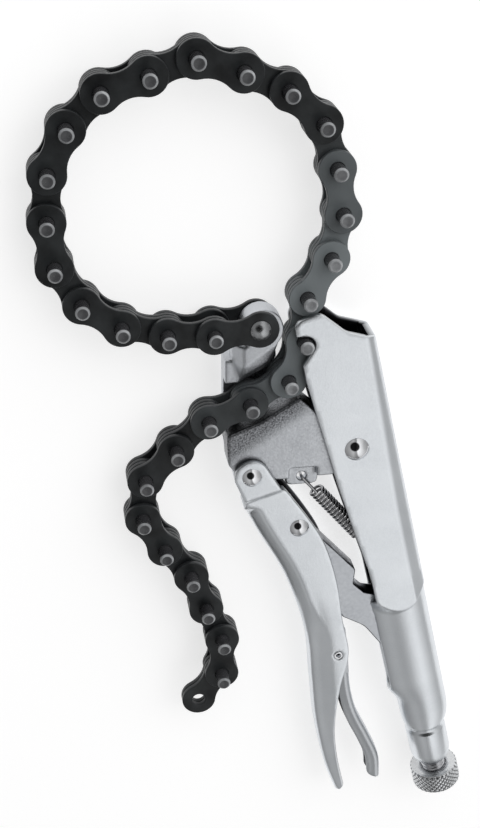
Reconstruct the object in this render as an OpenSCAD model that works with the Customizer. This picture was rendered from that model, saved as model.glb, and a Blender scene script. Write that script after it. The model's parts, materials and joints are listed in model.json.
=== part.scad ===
// Chain wrench: a locking plier whose jaw carries a leaf chain.
// It lies on its side, so every rivet and chain pin stands along Z. Lengths are
// millimetres and angles are degrees. Plan positions are measured from the main pivot,
// and heights from the middle plane of the chain.

/* [Chain] */
// Distance between neighbouring pins
pitch = 15.875; // [15:0.005:17]
// Thickness of one plate
plate_t = 2; // [1.7:0.05:2.2]
// Diameter of a plate's round ends
plate_end_d = 13; // [12:0.1:14]
// Height of a plate at its waist
plate_waist = 9; // [7.5:0.1:10.5]
// Diameter of a chain pin
pin_d = 5; // [4.5:0.05:5.6]
// Free length of a pin beyond its outer plate
pin_reach = 6.5; // [5.6:0.1:8]
// Chamfer on the end of a pin
pin_chamfer = 0.6; // [0.2:0.1:1]
// Play between neighbouring plates
plate_play = 0.3; // [0.2:0.05:0.4]

/* [Fits] */
// Radial clearance of a part that turns on its pin
turn_fit = 0.06; // [0.03:0.01:0.09]
// Radial clearance of a rivet that stays with its part
fixed_fit = 0.02; // [0.01:0.01:0.03]
// Play between the cheeks of two parts that pass each other
side_play = 0.3; // [0.2:0.05:0.5]

/* [Fixed handle] */
// Direction of the handle's spine, clockwise from the X axis
handle_lean = 77; // [75:1:79]
// Width of the handle across its cheeks
handle_w = 16.4; // [15.8:0.1:17.4]
// Thickness of the handle's sheet
handle_sheet = 2.5; // [2.2:0.1:2.6]
// Outer radius of the fold along the spine
fold_r = 4; // [3:0.1:5]
// Distance from the main pivot to the spine's outer face
spine_reach = 15; // [14:0.1:17]
// Distance from the main pivot to the round grip
grip_start = 74; // [70:1:80]
// Distance from the main pivot to the grip's shoulder
grip_end = 136; // [132:1:142]
// Width of the grip in the plane of the tool
grip_w = 21.5; // [20.5:0.1:23]
// Height of the grip across the plane of the tool
grip_h = 15.2; // [14.6:0.1:16.4]
// Thickness of the grip's wall
grip_wall = 2.2; // [1.8:0.1:2.4]
// Width of the slot along the grip
slot_w = 7.6; // [7.4:0.1:9]
// Length of the slot along the grip
slot_len = 42; // [36:1:46]
// Diameter of the threaded barrel
barrel_d = 16.4; // [15:0.1:17.4]
// Length of the threaded barrel
barrel_len = 20; // [16:0.5:24]
// Diameter of the neck in front of the barrel
neck_d = 14.6; // [13.4:0.1:15.4]
// Length of the neck
neck_len = 3; // [2:0.1:4]
// Depth of the hook's notch below the cheek's edge
notch_mouth = 2.6; // [2:0.1:3.4]
// Clearance of a chain pin in the hook's notch
notch_gap = 0.7; // [0.5:0.05:1]

/* [Jaw] */
// Diameter of the head that carries the chain
head_d = 14.8; // [14:0.1:15.6]
// Diameter of the eye on the main pivot
eye_d = 22; // [20:0.1:23]
// Diameter of the boss on the lever's pivot
boss_d = 12.4; // [11:0.1:13]
// Room between the chain's tail and the jaw's throat
throat_gap = 1; // [0.8:0.1:1.6]
// Width of the jaw's column behind the tail
column_w = 5; // [4.4:0.1:6.6]
// Thickness of the jaw's column behind the tail
column_t = 4.6; // [4:0.1:4.8]
// Thickness of the spring's tab
tab_t = 3; // [2:0.1:3.2]
// Width of the spring's tab
tab_w = 12; // [11.4:0.1:12.6]
// Length of the spring's tab above its hole
tab_deep = 9; // [8:0.1:10]
// Diameter of the holes that the spring hooks into
spring_hole_d = 3.4; // [3:0.1:4]

/* [Lever] */
// Thickness of the lever's sheet
lever_sheet = 2.2; // [1.8:0.1:2.4]
// Diameter of the ears on the lever's pivot
ear_d = 12.6; // [11.5:0.1:13.5]
// Length of the step that widens the lever to its ears
joggle_len = 2; // [1.6:0.1:2.4]
// Thickness of the toggle link
link_t = 7.2; // [6.4:0.1:7.4]
// Diameter of the link's eye
link_eye_d = 13; // [11:0.1:14]
// Width of the link's nose at the screw
nose_d = 8; // [7:0.1:9]
// Gap between the link's nose and the screw's tip
nose_gap = 0.6; // [0.5:0.05:0.9]
// Thickness of the release lever's sheet
release_sheet = 1.8; // [1.4:0.1:2.2]
// Depth of the release lever's channel
release_depth = 5; // [4.2:0.1:5.4]
// Diameter of the release lever's eye
release_eye_d = 9; // [8:0.1:10]

/* [Rivets] */
// Diameter of the main rivet's shank
main_rivet_d = 6; // [5:0.1:7]
// Diameter of the main rivet's domed head
main_head_d = 9; // [8:0.1:11]
// Diameter of the smaller rivets' shanks
rivet_d = 5; // [4:0.1:5.4]
// Diameter of the smaller rivets' domed heads
rivet_head_d = 7.2; // [6.4:0.1:8]
// Height of a domed head, as a share of its diameter
dome_rise = 0.24; // [0.18:0.01:0.28]
// Diameter of the hollow release pin
release_pin_d = 3.6; // [3:0.1:4.2]
// Diameter of the hole through the release pin
release_pin_bore = 1.6; // [1.2:0.1:2]

/* [Spring] */
// Diameter of the spring's wire
wire_d = 1.1; // [0.9:0.05:1.15]
// Outer diameter of the spring's coil
coil_d = 5.5; // [5.4:0.1:6]
// Distance between neighbouring turns
coil_pitch = 2; // [1.9:0.05:2.2]
// Number of turns
coil_turns = 15; // [12:1:15]

/* [Adjusting screw] */
// Diameter of the screw
screw_d = 10; // [9:0.1:10.6]
// Distance of the screw's axis from the main pivot, towards the spine
screw_reach = 4.2; // [3.8:0.1:4.6]
// Length of the screw inside the grip, beyond the barrel's thread
screw_inside = 24; // [20:0.5:28]
// Length of thread that shows between the barrel and the knob
thread_shown = 3.4; // [2.6:0.1:6]
// Diameter of the knurled knob
knob_d = 19.6; // [18:0.1:20.6]
// Length of the knurled knob
knob_len = 9; // [7:0.1:11]
// Chamfer on the knob's rims
knob_chamfer = 0.8; // [0.4:0.1:1.4]

/* [Hidden] */
// Plan places that were read from the photograph
jaw_head = [-35, 48];
head_shift = [1, -1];
arm_face = [[-40.5, 40.5], [-40.4, 33.2], [-28.6, 42], [-32, 45]];
lever_pivot = [-38, -8.7];
link_pivot = [-20, -32.5];
release_pivot = [-3.4, -92.3];
tab_hole = [-18.8, -13.1];
lug_hole = [10, -48];

// Heading of each link as the chain lies, from the jaw's head round the loop to the free end
link_heading = [
    -174, 179, 166, 145, 121, 96, 86, 65, 44, 18, 18, -18, -24, -44, -72, -81,
    -103, -120, -93, -109, -149, -158, -138, -135, -95, -61, -53, -70, -68, -91, -124
];
links = len(link_heading);
pairs = (links - 1) / 2;
hooked_pin = 19;
throat_pin = 21;

// Edges of the lever, from its ears to its tip
lever_back = [
    [-41.5, -21], [-34.5, -35.5], [-24, -56], [-16, -82], [-13.6, -104], [-11.4, -125], [-7, -147], [-1.6, -163]
];
lever_front = [
    [-25, -16.5], [-16.5, -29], [-10, -41], [-5, -58], [-2.2, -76], [0.8, -92], [-2, -108], [-3.6, -126],
    [-2.4, -143], [0.8, -160]
];
// Line along which the lever steps out to its ears
joggle_from = [-41.5, -21];
joggle_lean = 17;
// Outer edge of the release lever's tail, from its pivot to its tip
release_back = [[1.6, -100], [3, -112], [6, -123.5], [11.5, -136], [15.8, -147], [16.8, -158]];

// Resolution of round shapes and of drawn curves
$fn = 48;
arc_steps = 6;
curve_steps = 4;

function dir(a) = [cos(a), sin(a)];
function unit(v) = v / norm(v);
function xy(p) = [p.x, p.y];
function two_digits(i) = str(i < 10 ? "0" : "", i);

// Places of the chain's pins: each is one pitch from the last, along its link's heading
pins = [for (i = 0, p = jaw_head; i <= links; p = i < links ? p + pitch * dir(link_heading[i]) : p, i = i + 1) p];

// Heights of the chain's layers
plate_r = plate_end_d / 2;
inner_lo = plate_play / 2;
inner_hi = inner_lo + plate_t;
outer_lo = inner_hi + plate_play;
outer_hi = outer_lo + plate_t;
anchor_lo = outer_hi + plate_play;
anchor_hi = anchor_lo + plate_t;
pin_half = outer_hi + pin_reach;

// Heights of the tool's layers
handle_half = handle_w / 2;
handle_in = handle_half - handle_sheet;
jaw_half = handle_in - side_play;
ear_in = jaw_half + side_play;
ear_out = ear_in + lever_sheet;
link_half = link_t / 2;
lever_in = link_half + side_play;
lever_out = lever_in + lever_sheet;
column_in = outer_hi + throat_gap / 2;
column_out = column_in + column_t;

// Places along the handle's spine, from the main pivot
neck_start = grip_end;
barrel_start = neck_start + neck_len;
barrel_end = barrel_start + barrel_len;
screw_tip = neck_start - screw_inside;
knob_start = barrel_end + thread_shown;
knob_end = knob_start + knob_len;
barrel_r = barrel_d / 2;
screw_r = screw_d / 2;
slot_end = grip_start + slot_len;

// A plan place in the handle's own axes: x down the spine and y towards the spine's back
function on_handle(p) = [p * dir(-handle_lean), p * dir(90 - handle_lean)];
function off_handle(q) = q.x * dir(-handle_lean) + q.y * dir(90 - handle_lean);
hook = on_handle(pins[hooked_pin]);
notch_r = pin_d / 2 + notch_gap;
screw_point = off_handle([screw_tip, screw_reach]);

// The box that the whole tool fills in plan, which puts the origin at its middle
knob_corners = [for (x = [knob_start, knob_end], y = [-1, 1]) off_handle([x, screw_reach + y * knob_d / 2])];
low = [min([for (p = pins) p.x]) - plate_r, min([for (p = knob_corners) p.y])];
high = [max([for (p = knob_corners) p.x]), max([for (p = pins) p.y]) + plate_r];
middle = (low + high) / 2;

// Points of an arc that rounds the corner b between a and c with radius r
function fillet(a, b, c, r) =
    r == 0 ? [b] :
    let (
        u = unit(a - b),
        w = unit(c - b),
        half = acos(u * w) / 2,
        centre = b + unit(u + w) * r / sin(half),
        from = b + u * r / tan(half) - centre,
        to = b + w * r / tan(half) - centre,
        start = atan2(from.y, from.x),
        turn = (atan2(to.y, to.x) - start + 540) % 360 - 180
    )
    [for (k = [0:arc_steps]) centre + r * dir(start + turn * k / arc_steps)];

// An outline from corners that are [x, y, radius]
function rounded(corners) =
    let (n = len(corners))
    [for (i = [0:n - 1])
        each fillet(xy(corners[(i + n - 1) % n]), xy(corners[i]), xy(corners[(i + 1) % n]), corners[i][2])];

// A smooth curve through points
function blend(a, b, c, d, t) =
    (2 * b + (c - a) * t + (2 * a - 5 * b + 4 * c - d) * t * t + (3 * b - a - 3 * c + d) * t * t * t) / 2;
function curve(points) =
    let (last = len(points) - 1)
    [
        for (i = [0:last - 1], k = [0:curve_steps - 1])
            blend(points[max(i - 1, 0)], points[i], points[i + 1], points[min(i + 2, last)], k / curve_steps),
        points[last]
    ];
// A curve shifted to its left by a distance
function shifted(points, distance) =
    let (last = len(points) - 1)
    [for (i = [0:last])
        let (along = unit(points[min(i + 1, last)] - points[max(i - 1, 0)]))
        points[i] + distance * [-along.y, along.x]];
function reversed(points) = [for (i = [len(points) - 1:-1:0]) points[i]];

// Puts a sub-part, made about the main pivot and the middle plane, in the tool's frame
module laid() {
    translate([-middle.x, -middle.y, pin_half]) children();
}

// Puts a shape of the handle's own axes in plan
module along_handle() {
    rotate(-handle_lean) children();
}

module slab(lo, hi) {
    translate([0, 0, lo]) linear_extrude(hi - lo) children();
}

// The same plan shape above and below the middle plane
module pair(lo, hi) {
    slab(lo, hi) children();
    slab(-hi, -lo) children();
}

module at(p) {
    translate([p.x, p.y, 0]) children();
}

// A bore through everything at a plan place
module bore(p, r) {
    at(p) cylinder(r = r, h = 4 * pin_half, center = true);
}

// One end of a rivet: a domed cap that stands on a height
module dome(d, base) {
    rise = dome_rise * d;
    ball = (rise * rise + d * d / 4) / (2 * rise);
    translate([0, 0, base]) intersection() {
        translate([0, 0, rise - ball]) sphere(r = ball, $fn = 64);
        cylinder(d = d, h = 2 * rise);
    }
}

// A rivet whose two heads stand on the outsides of the parts that it joins
module rivet(p, shank_d, cap_d, half) {
    seat = half + fixed_fit;
    at(p) {
        cylinder(d = shank_d, h = 2 * seat, center = true);
        for (side = [0, 1]) mirror([0, 0, side]) dome(cap_d, seat);
    }
}

// Fixed handle

// A bar along the spine with the two folded edges of the sheet
module folded_bar(half_w, reach, r, from, to) {
    depth = 3 * spine_reach;
    translate([from, -depth, -half_w]) cube([to - from, depth + reach - r, 2 * half_w]);
    translate([from, -depth, r - half_w]) cube([to - from, depth + reach, 2 * (half_w - r)]);
    for (side = [-1, 1])
        translate([from, reach - r, side * (half_w - r)]) rotate([0, 90, 0]) cylinder(r = r, h = to - from);
}

// The cheeks' outline in the handle's axes; the hook's end follows the pin that it holds
cheek = [
    [hook.x - 4.4, hook.y - notch_mouth, 1],
    [hook.x - 9.6, hook.y - 2, 4],
    [hook.x - 10.4, hook.y + 8, 5],
    [hook.x + 1, hook.y + 14.5, 6],
    [hook.x + 4.6, spine_reach, 0],
    [grip_start, spine_reach, 0],
    [grip_start, screw_reach - 9.4, 0],
    [grip_start - 20, screw_reach - 9.4, 30],
    [18, -9.2, 40],
    [hook.x + 12.6, -12.4, 6],
    [hook.x + 8, hook.y - notch_mouth, 2]
];

// The notch: a round seat for the pin whose mouth widens towards the open side
module notch() {
    upper = 10;
    lower = 45;
    mouth = 3 * notch_r;
    at(hook) slab(-pin_half, pin_half) {
        circle(r = notch_r);
        polygon([
            notch_r * dir(180 - upper),
            notch_r * dir(lower),
            notch_r * dir(lower) + mouth * dir(lower - 90),
            notch_r * dir(180 - upper) + mouth * dir(270 - upper)
        ]);
    }
}

// The grip's cross-section, a flattened tube
module grip_section(w, h) {
    for (side = [-1, 1]) translate([0, side * (w - h) / 2]) circle(d = h);
    square([h, w - h], center = true);
}

module grip_bar(w, h, from, to) {
    translate([from, screw_reach, 0]) rotate([0, 90, 0]) linear_extrude(to - from) grip_section(w, h);
}

module round_bar(d, from, to) {
    translate([from, screw_reach, 0]) rotate([0, 90, 0]) cylinder(d = d, h = to - from);
}

// A lug that is bent in from the spine to take the spring's end
module spring_lug() {
    lug = on_handle(lug_hole);
    slab(-tab_t / 2, tab_t / 2) difference() {
        union() {
            at(lug) circle(d = 2 * spring_hole_d);
            at(lug - [spring_hole_d, 0]) square([2 * spring_hole_d, spine_reach - handle_sheet / 2 - lug.y]);
        }
        at(lug) circle(d = spring_hole_d);
    }
}

module fixed_handle() {
    shoulder = (grip_w - neck_d) / 2;
    bore_end = grip_end - shoulder - grip_wall;
    chamfer = 3;
    color("gainsboro") laid() along_handle() {
        difference() {
            union() {
                intersection() {
                    slab(-handle_half, handle_half) polygon(rounded(cheek));
                    folded_bar(handle_half, spine_reach, fold_r, hook.x - 20, grip_start);
                }
                grip_bar(grip_w, grip_h, grip_start - handle_sheet, grip_end - shoulder);
                hull() {
                    grip_bar(grip_w, grip_h, grip_end - shoulder - 0.1, grip_end - shoulder);
                    round_bar(neck_d, grip_end - 0.1, grip_end);
                }
                round_bar(neck_d, grip_end - shoulder, barrel_start + 1);
                round_bar(barrel_d, barrel_start, barrel_end - chamfer);
                translate([barrel_end - chamfer, screw_reach, 0]) rotate([0, 90, 0])
                    cylinder(r1 = barrel_r, r2 = barrel_r - chamfer * 0.7, h = chamfer);
            }
            folded_bar(handle_in, spine_reach - handle_sheet, fold_r - handle_sheet, hook.x - 30, grip_start);
            grip_bar(grip_w - 2 * grip_wall, grip_h - 2 * grip_wall, grip_start - 2 * handle_sheet, bore_end);
            translate([grip_start - 2 * handle_sheet, screw_reach - grip_w, -slot_w / 2])
                cube([slot_len + 2 * handle_sheet, grip_w, slot_w]);
            round_bar(screw_d + 2 * turn_fit, bore_end - 1, barrel_end + 1);
            notch();
            bore([0, 0], main_rivet_d / 2 + fixed_fit);
        }
        spring_lug();
    }
}

module main_rivet() {
    color("silver") laid() rivet([0, 0], main_rivet_d, main_head_d, handle_half);
}

// Jaw

// Height in plan of the line that clears the tail, below it (1) or above it (-1)
tail_room = plate_r + throat_gap;
function tail_edge(x, side) =
    let (p = pins[throat_pin], lean = link_heading[throat_pin])
    p.y + tan(lean) * (x - p.x) + side * tail_room / cos(lean);
column_right = pins[throat_pin].x - pin_d / 2 - throat_gap;
column_left = column_right - column_w;
arm_foot = tail_edge(column_right, -1) + throat_gap / 2;

// The chain's bend at the jaw's throat, on the side of the head
bend_pin = throat_pin - 1;
bend_from = link_heading[bend_pin - 1];
bend_to = link_heading[bend_pin];
throat = pins[bend_pin] + tail_room / cos((bend_to - bend_from) / 2) * dir((bend_from + bend_to) / 2 - 90);

// The block at each end of the column that joins it to the jaw
module column_root(low_left, low_right, high_left, high_right, top) {
    slab(-column_out, top) polygon([
        [column_left, low_left], [column_right, low_right], [column_right, high_right], [column_left, high_left]
    ]);
}

module jaw_body() {
    corner = pins[throat_pin - 1] + tail_room * dir(link_heading[throat_pin - 1] + 90);
    turn = (link_heading[throat_pin - 1] + link_heading[throat_pin]) / 2;
    bend = pins[throat_pin] + tail_room * dir(turn + 90);
    slab(-jaw_half, jaw_half) {
        polygon(rounded([
            [corner.x, corner.y, 2],
            [bend.x, bend.y, 0],
            [column_left, tail_edge(column_left, 1), 2],
            [column_left + 0.4, lever_pivot.y + 4.2, 3],
            [lever_pivot.x - 2, lever_pivot.y - 4, 0],
            [lever_pivot.x + 8, lever_pivot.y - 3.4, 4],
            [-8, -11.4, 0],
            [-1, -9, 0],
            [0, 8, 0],
            [-8, 9, 0]
        ]));
        circle(d = eye_d);
        at(lever_pivot) circle(d = boss_d);
    }
}

// The arm: a narrow near face that falls away in a swell to the throat and to the outside
module jaw_arm() {
    half = outer_hi;
    outside = column_right - 2.8;
    base = [
        [outside, arm_foot + 15],
        [outside, arm_foot + 8.6],
        [column_right, arm_foot],
        throat,
        throat - 9 * dir(bend_from),
        jaw_head + [5, -4]
    ];
    face_middle = (arm_face[0] + arm_face[1] + arm_face[2] + arm_face[3]) / 4;
    swell = 0.72;
    swell_z = 0.62 * half;
    skin = 0.01;
    slab(-half, half) at(jaw_head + head_shift) circle(d = head_d);
    hull() {
        slab(-half, 0) polygon(base);
        slab(0, swell_z) polygon([for (p = base) face_middle + swell * (p - face_middle)]);
        slab(half - skin, half) polygon(arm_face);
    }
}

module spring_tab() {
    slab(-tab_t / 2, tab_t / 2)
        polygon(rounded([
            [tab_hole.x - tab_w / 2, tab_hole.y - spring_hole_d, 2],
            [tab_hole.x + tab_w / 2, tab_hole.y - spring_hole_d, 2],
            [tab_hole.x + tab_w / 2, tab_hole.y + tab_deep, 0],
            [tab_hole.x - tab_w / 2, tab_hole.y + tab_deep, 0]
        ]));
}

// The jaw's body gives way round the tab, so that the spring's hook can swing in
module tab_pocket() {
    wide = 0.85 * tab_w;
    tall = 1.6 * tab_deep;
    pair(tab_t / 2, 2 * jaw_half)
        translate([tab_hole.x - wide / 2, tab_hole.y - tab_deep]) square([wide, tall]);
}

module jaw() {
    root = 6.2;
    block = 8.6;
    block_top = 0.8;
    color("silver") laid() difference() {
        union() {
            difference() {
                jaw_body();
                tab_pocket();
            }
            jaw_arm();
            spring_tab();
            slab(-column_out, -column_in) polygon([
                [column_left, tail_edge(column_left, 1) - root],
                [column_right, tail_edge(column_right, 1) - root],
                [column_right, arm_foot + root],
                [column_left, arm_foot + root]
            ]);
            column_root(
                tail_edge(column_left, 1) - root, tail_edge(column_right, 1) - root,
                tail_edge(column_left, 1), tail_edge(column_right, 1), 0
            );
            column_root(arm_foot, arm_foot, arm_foot + block, arm_foot + block, block_top);
        }
        bore([0, 0], main_rivet_d / 2 + turn_fit);
        bore(lever_pivot, rivet_d / 2 + turn_fit);
        bore(jaw_head, rivet_d / 2 + fixed_fit);
        bore(tab_hole, spring_hole_d / 2);
    }
}

module anchor_rivet() {
    color("dimgray") laid() rivet(jaw_head, rivet_d, rivet_head_d, anchor_hi + plate_play / 2);
}

// Lever

// The half of the plan beyond the line where the lever steps out to its ears
module beyond_joggle(distance) {
    reach = 200;
    at(joggle_from) rotate(joggle_lean) translate([-reach, distance]) square([2 * reach, reach]);
}

module lever_plan() {
    polygon(concat(
        reversed(curve(lever_back)),
        [lever_pivot + ear_d / 2 * dir(190)],
        [lever_pivot],
        [lever_pivot + ear_d / 2 * dir(35)],
        curve(lever_front)
    ));
    at(lever_pivot) circle(d = ear_d);
}

// The space inside the lever's channel, open on the side of the fixed handle
module lever_hollow() {
    polygon(concat(
        reversed(shifted(curve(lever_back), lever_sheet)),
        [joggle_from + 80 * dir(joggle_lean)],
        [lever_front[len(lever_front) - 1] + [80, 0]]
    ));
}

module lever() {
    color("gainsboro") laid() difference() {
        union() {
            difference() {
                slab(-lever_out, lever_out) difference() {
                    lever_plan();
                    beyond_joggle(joggle_len);
                }
                slab(-lever_in, lever_in) lever_hollow();
                slab(-lever_in, lever_in) beyond_joggle(0);
            }
            pair(lever_in, ear_out) intersection() {
                lever_plan();
                difference() {
                    beyond_joggle(0);
                    beyond_joggle(joggle_len);
                }
            }
            pair(ear_in, ear_out) intersection() {
                lever_plan();
                beyond_joggle(0);
            }
        }
        bore(lever_pivot, rivet_d / 2 + fixed_fit);
        bore(link_pivot, rivet_d / 2 + fixed_fit);
        bore(release_pivot, release_pin_d / 2 + fixed_fit);
    }
}

module lever_rivet() {
    color("silver") laid() rivet(lever_pivot, rivet_d, rivet_head_d, ear_out);
}

module toggle_rivet() {
    color("silver") laid() rivet(link_pivot, rivet_d, rivet_head_d, lever_out);
}

// Toggle link, from the lever to the tip of the adjusting screw

module toggle_link() {
    nose_r = nose_d / 2;
    nose = screw_point + (nose_r + nose_gap) * dir(180 - handle_lean);
    color("lightgray") laid() difference() {
        union() {
            slab(-link_half, link_half) at(link_pivot) circle(d = link_eye_d);
            slab(-link_half, link_half) at(nose) circle(d = nose_d);
            slab(-link_half, link_half) polygon(rounded([
                [link_pivot.x - 5, link_pivot.y + 9, 2],
                [2.6, -54.6, 2],
                [2, -61, 1.5],
                [6.4, -65.4, 2],
                [11, -66.6, 3],
                concat(nose + 0.9 * nose_r * dir(20), 0),
                concat(nose + 0.9 * nose_r * dir(205), 0),
                [7, -81, 12],
                [-1.6, -76, 3],
                [link_pivot.x - 4, link_pivot.y - 6, 0]
            ]));
        }
        bore(link_pivot, rivet_d / 2 + turn_fit);
    }
}

// Release lever, a channel that turns inside the lever

module release_lever() {
    back = curve(release_back);
    front = shifted(back, -release_depth);
    hollow = shifted(back, -release_sheet);
    beyond = shifted(back, -2 * release_depth);
    last = len(back) - 1;
    past_tip = 2 * (back[last] - back[last - 1]);
    half = link_half;
    nose = release_pivot + [1, release_eye_d + 2];
    color("gainsboro") laid() difference() {
        union() {
            slab(-half, half) polygon(concat(back, reversed(front)));
            slab(-half, half) at(release_pivot) circle(d = release_eye_d);
            slab(-half, half) polygon([
                release_pivot + 0.9 * release_eye_d / 2 * dir(190),
                front[3] + [0.5, 0],
                back[2] - [0.5, 0],
                release_pivot + 0.9 * release_eye_d / 2 * dir(10),
                nose + [1, 0],
                nose - [1.4, 0]
            ]);
        }
        slab(release_sheet - half, half - release_sheet)
            polygon(concat(
                [for (i = [4:last]) hollow[i]],
                [hollow[last] + past_tip, beyond[last] + past_tip],
                [for (i = [last:-1:4]) beyond[i]]
            ));
        bore(release_pivot, release_pin_d / 2 + turn_fit);
    }
}

module release_pin() {
    color("silver") laid() at(release_pivot) difference() {
        cylinder(d = release_pin_d, h = 2 * lever_out, center = true);
        cylinder(d = release_pin_bore, h = 4 * lever_out, center = true);
    }
}

// Return spring: one unbroken wire, hooked into the jaw's tab and the handle's lug

coil_r = (coil_d - wire_d) / 2;
curl_rings = 8;
wire_sides = 6;
spring_len = norm(lug_hole - tab_hole);
coil_len = coil_turns * coil_pitch;
lead = (spring_len - coil_len) / 2;
// A hook, from its tip in the hole to the straight that leads to the coil
hook_rise = [[0, -0.9], [0, 0.4], [0, coil_r - 0.9], [0.3, coil_r - 0.3], [0.9, coil_r]];
hook_path = [for (h = hook_rise) [h.x, 0, h.y]];
coil_path = [
    for (k = [0:coil_turns * curl_rings])
        let (a = 360 * k / curl_rings)
        [lead + coil_pitch * k / curl_rings, -coil_r * sin(a), coil_r * cos(a)]
];
spring_path = concat(
    hook_path,
    [[lead - 1.2, 0, coil_r]],
    coil_path,
    [[spring_len - lead + 1.2, 0, coil_r]],
    [for (p = reversed(hook_path)) [spring_len - p.x, p.y, p.z]]
);

// Least distance between two turns, less the wire, measured on the coil's points
function least_gap(path) =
    min([for (i = [0:len(path) - 1], j = [i + curl_rings - 2:1:len(path) - 1]) norm(path[i] - path[j])]) - wire_d;
echo(spring_gap = least_gap(coil_path));

// Direction of the wire at a point, and a ring of points round it
function heading(path, i) = unit(path[min(i + 1, len(path) - 1)] - path[max(i - 1, 0)]);
function level(v, along) = unit(v - (v * along) * along);
function wire_rings(path) =
    [for (i = 0, n = [0, 1, 0]; i < len(path); i = i + 1, n = level(n, heading(path, min(i, len(path) - 1))))
        let (along = heading(path, i), side = level(n, along), up = cross(along, side))
        [for (k = [0:wire_sides - 1])
            let (a = 360 * k / wire_sides)
            path[i] + wire_d / 2 * (cos(a) * side + sin(a) * up)]];

module return_spring() {
    rings = wire_rings(spring_path);
    count = len(rings);
    walls = [
        for (i = [0:count - 2], k = [0:wire_sides - 1])
            let (
                a = i * wire_sides + k,
                b = i * wire_sides + (k + 1) % wire_sides,
                c = b + wire_sides,
                d = a + wire_sides
            )
            each [[a, b, c], [a, c, d]]
    ];
    ends = [
        for (k = [1:wire_sides - 2])
            let (z = (count - 1) * wire_sides)
            each [[0, k + 1, k], [z, z + k, z + k + 1]]
    ];
    run = lug_hole - tab_hole;
    color("dimgray") laid() at(tab_hole) rotate(atan2(run.y, run.x))
        polyhedron([for (ring = rings) each ring], concat(walls, ends));
}

// Adjusting screw and its knob

module adjusting_screw() {
    tip = 1.5;
    color("lightgray") laid() along_handle() translate([screw_tip, screw_reach, 0]) rotate([0, 90, 0]) {
        cylinder(r1 = screw_r - tip, r2 = screw_r, h = tip);
        translate([0, 0, tip]) cylinder(r = screw_r, h = knob_start - screw_tip - tip + knob_len / 2);
    }
}

module adjusting_knob() {
    color("silver") laid() along_handle() translate([knob_start, screw_reach, 0]) rotate([0, 90, 0])
        difference() {
            union() {
                cylinder(r1 = knob_d / 2 - knob_chamfer, r2 = knob_d / 2, h = knob_chamfer);
                translate([0, 0, knob_chamfer]) cylinder(d = knob_d, h = knob_len - 2 * knob_chamfer);
                translate([0, 0, knob_len - knob_chamfer])
                    cylinder(r1 = knob_d / 2, r2 = knob_d / 2 - knob_chamfer, h = knob_chamfer);
            }
            translate([0, 0, -1]) cylinder(r = screw_r + turn_fit, h = knob_len / 2 + 1 + turn_fit);
        }
}

// Chain

// A plate from one pin to the next: two round ends and a waist that runs into them
module plate_plan(from_r, to_r) {
    hollow_r = (pitch * pitch / 4 + plate_waist * plate_waist / 4 - plate_r * plate_r) / (plate_end_d - plate_waist);
    hollow_y = plate_waist / 2 + hollow_r;
    difference() {
        union() {
            circle(d = plate_end_d);
            translate([pitch, 0]) circle(d = plate_end_d);
            difference() {
                polygon([[0, 0], [pitch / 2, hollow_y], [pitch, 0], [pitch / 2, -hollow_y]]);
                for (side = [-1, 1]) translate([pitch / 2, side * hollow_y]) circle(r = hollow_r);
            }
        }
        circle(r = from_r);
        translate([pitch, 0]) circle(r = to_r);
    }
}

// The two plates of one link, on the same heights above and below the middle plane
module link_plates(link, lo, hi, from_r, to_r) {
    laid() at(pins[link]) rotate(link_heading[link]) pair(lo, hi) plate_plan(from_r, to_r);
}

turning_r = pin_d / 2 + turn_fit;
fixed_r = pin_d / 2 + fixed_fit;

module anchor_link() {
    color("dimgray") link_plates(0, anchor_lo, anchor_hi, rivet_d / 2 + turn_fit, turning_r);
}

// The outer and inner links take turns along the chain, the outer ones with the pins
module outer_plates(i) {
    color("dimgray") link_plates(2 * i - 1, outer_lo, outer_hi, fixed_r, fixed_r);
}

module inner_plates(i) {
    color("dimgray") link_plates(2 * i, inner_lo, inner_hi, turning_r, turning_r);
}

module chain_pin() {
    straight = pin_half - pin_chamfer;
    cylinder(d = pin_d, h = 2 * straight, center = true);
    for (side = [0, 1]) mirror([0, 0, side]) translate([0, 0, straight])
        cylinder(r1 = pin_d / 2, r2 = pin_d / 2 - pin_chamfer, h = pin_chamfer);
}

module chain_pins(i) {
    color("gray") laid() for (k = [2 * i - 1, 2 * i]) at(pins[k]) chain_pin();
}

// Joint axes and reference places, in the tool's frame
echo(middle = middle, height = pin_half, pins = pins, screw_point = screw_point);

fixed_handle();
main_rivet();
jaw();
anchor_rivet();
lever();
lever_rivet();
toggle_rivet();
toggle_link();
release_lever();
release_pin();
return_spring();
adjusting_screw();
adjusting_knob();
anchor_link();
for (i = [1:pairs]) {
    outer_plates(i);
    chain_pins(i);
    inner_plates(i);
}
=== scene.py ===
"""Looks of a chain wrench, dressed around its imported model.

Shapes are drawn in millimetres about the main pivot: x and y in the plane of the tool, and z from the
middle plane of the chain. Placing turns them into the metres of the frame.
"""

from __future__ import annotations

import json
import logging
from abc import ABC, abstractmethod
from dataclasses import dataclass, replace
from enum import Enum
from typing import Callable

import bmesh
import bpy
import numpy as np
from mathutils import Matrix
from mathutils.geometry import delaunay_2d_cdt

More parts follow.
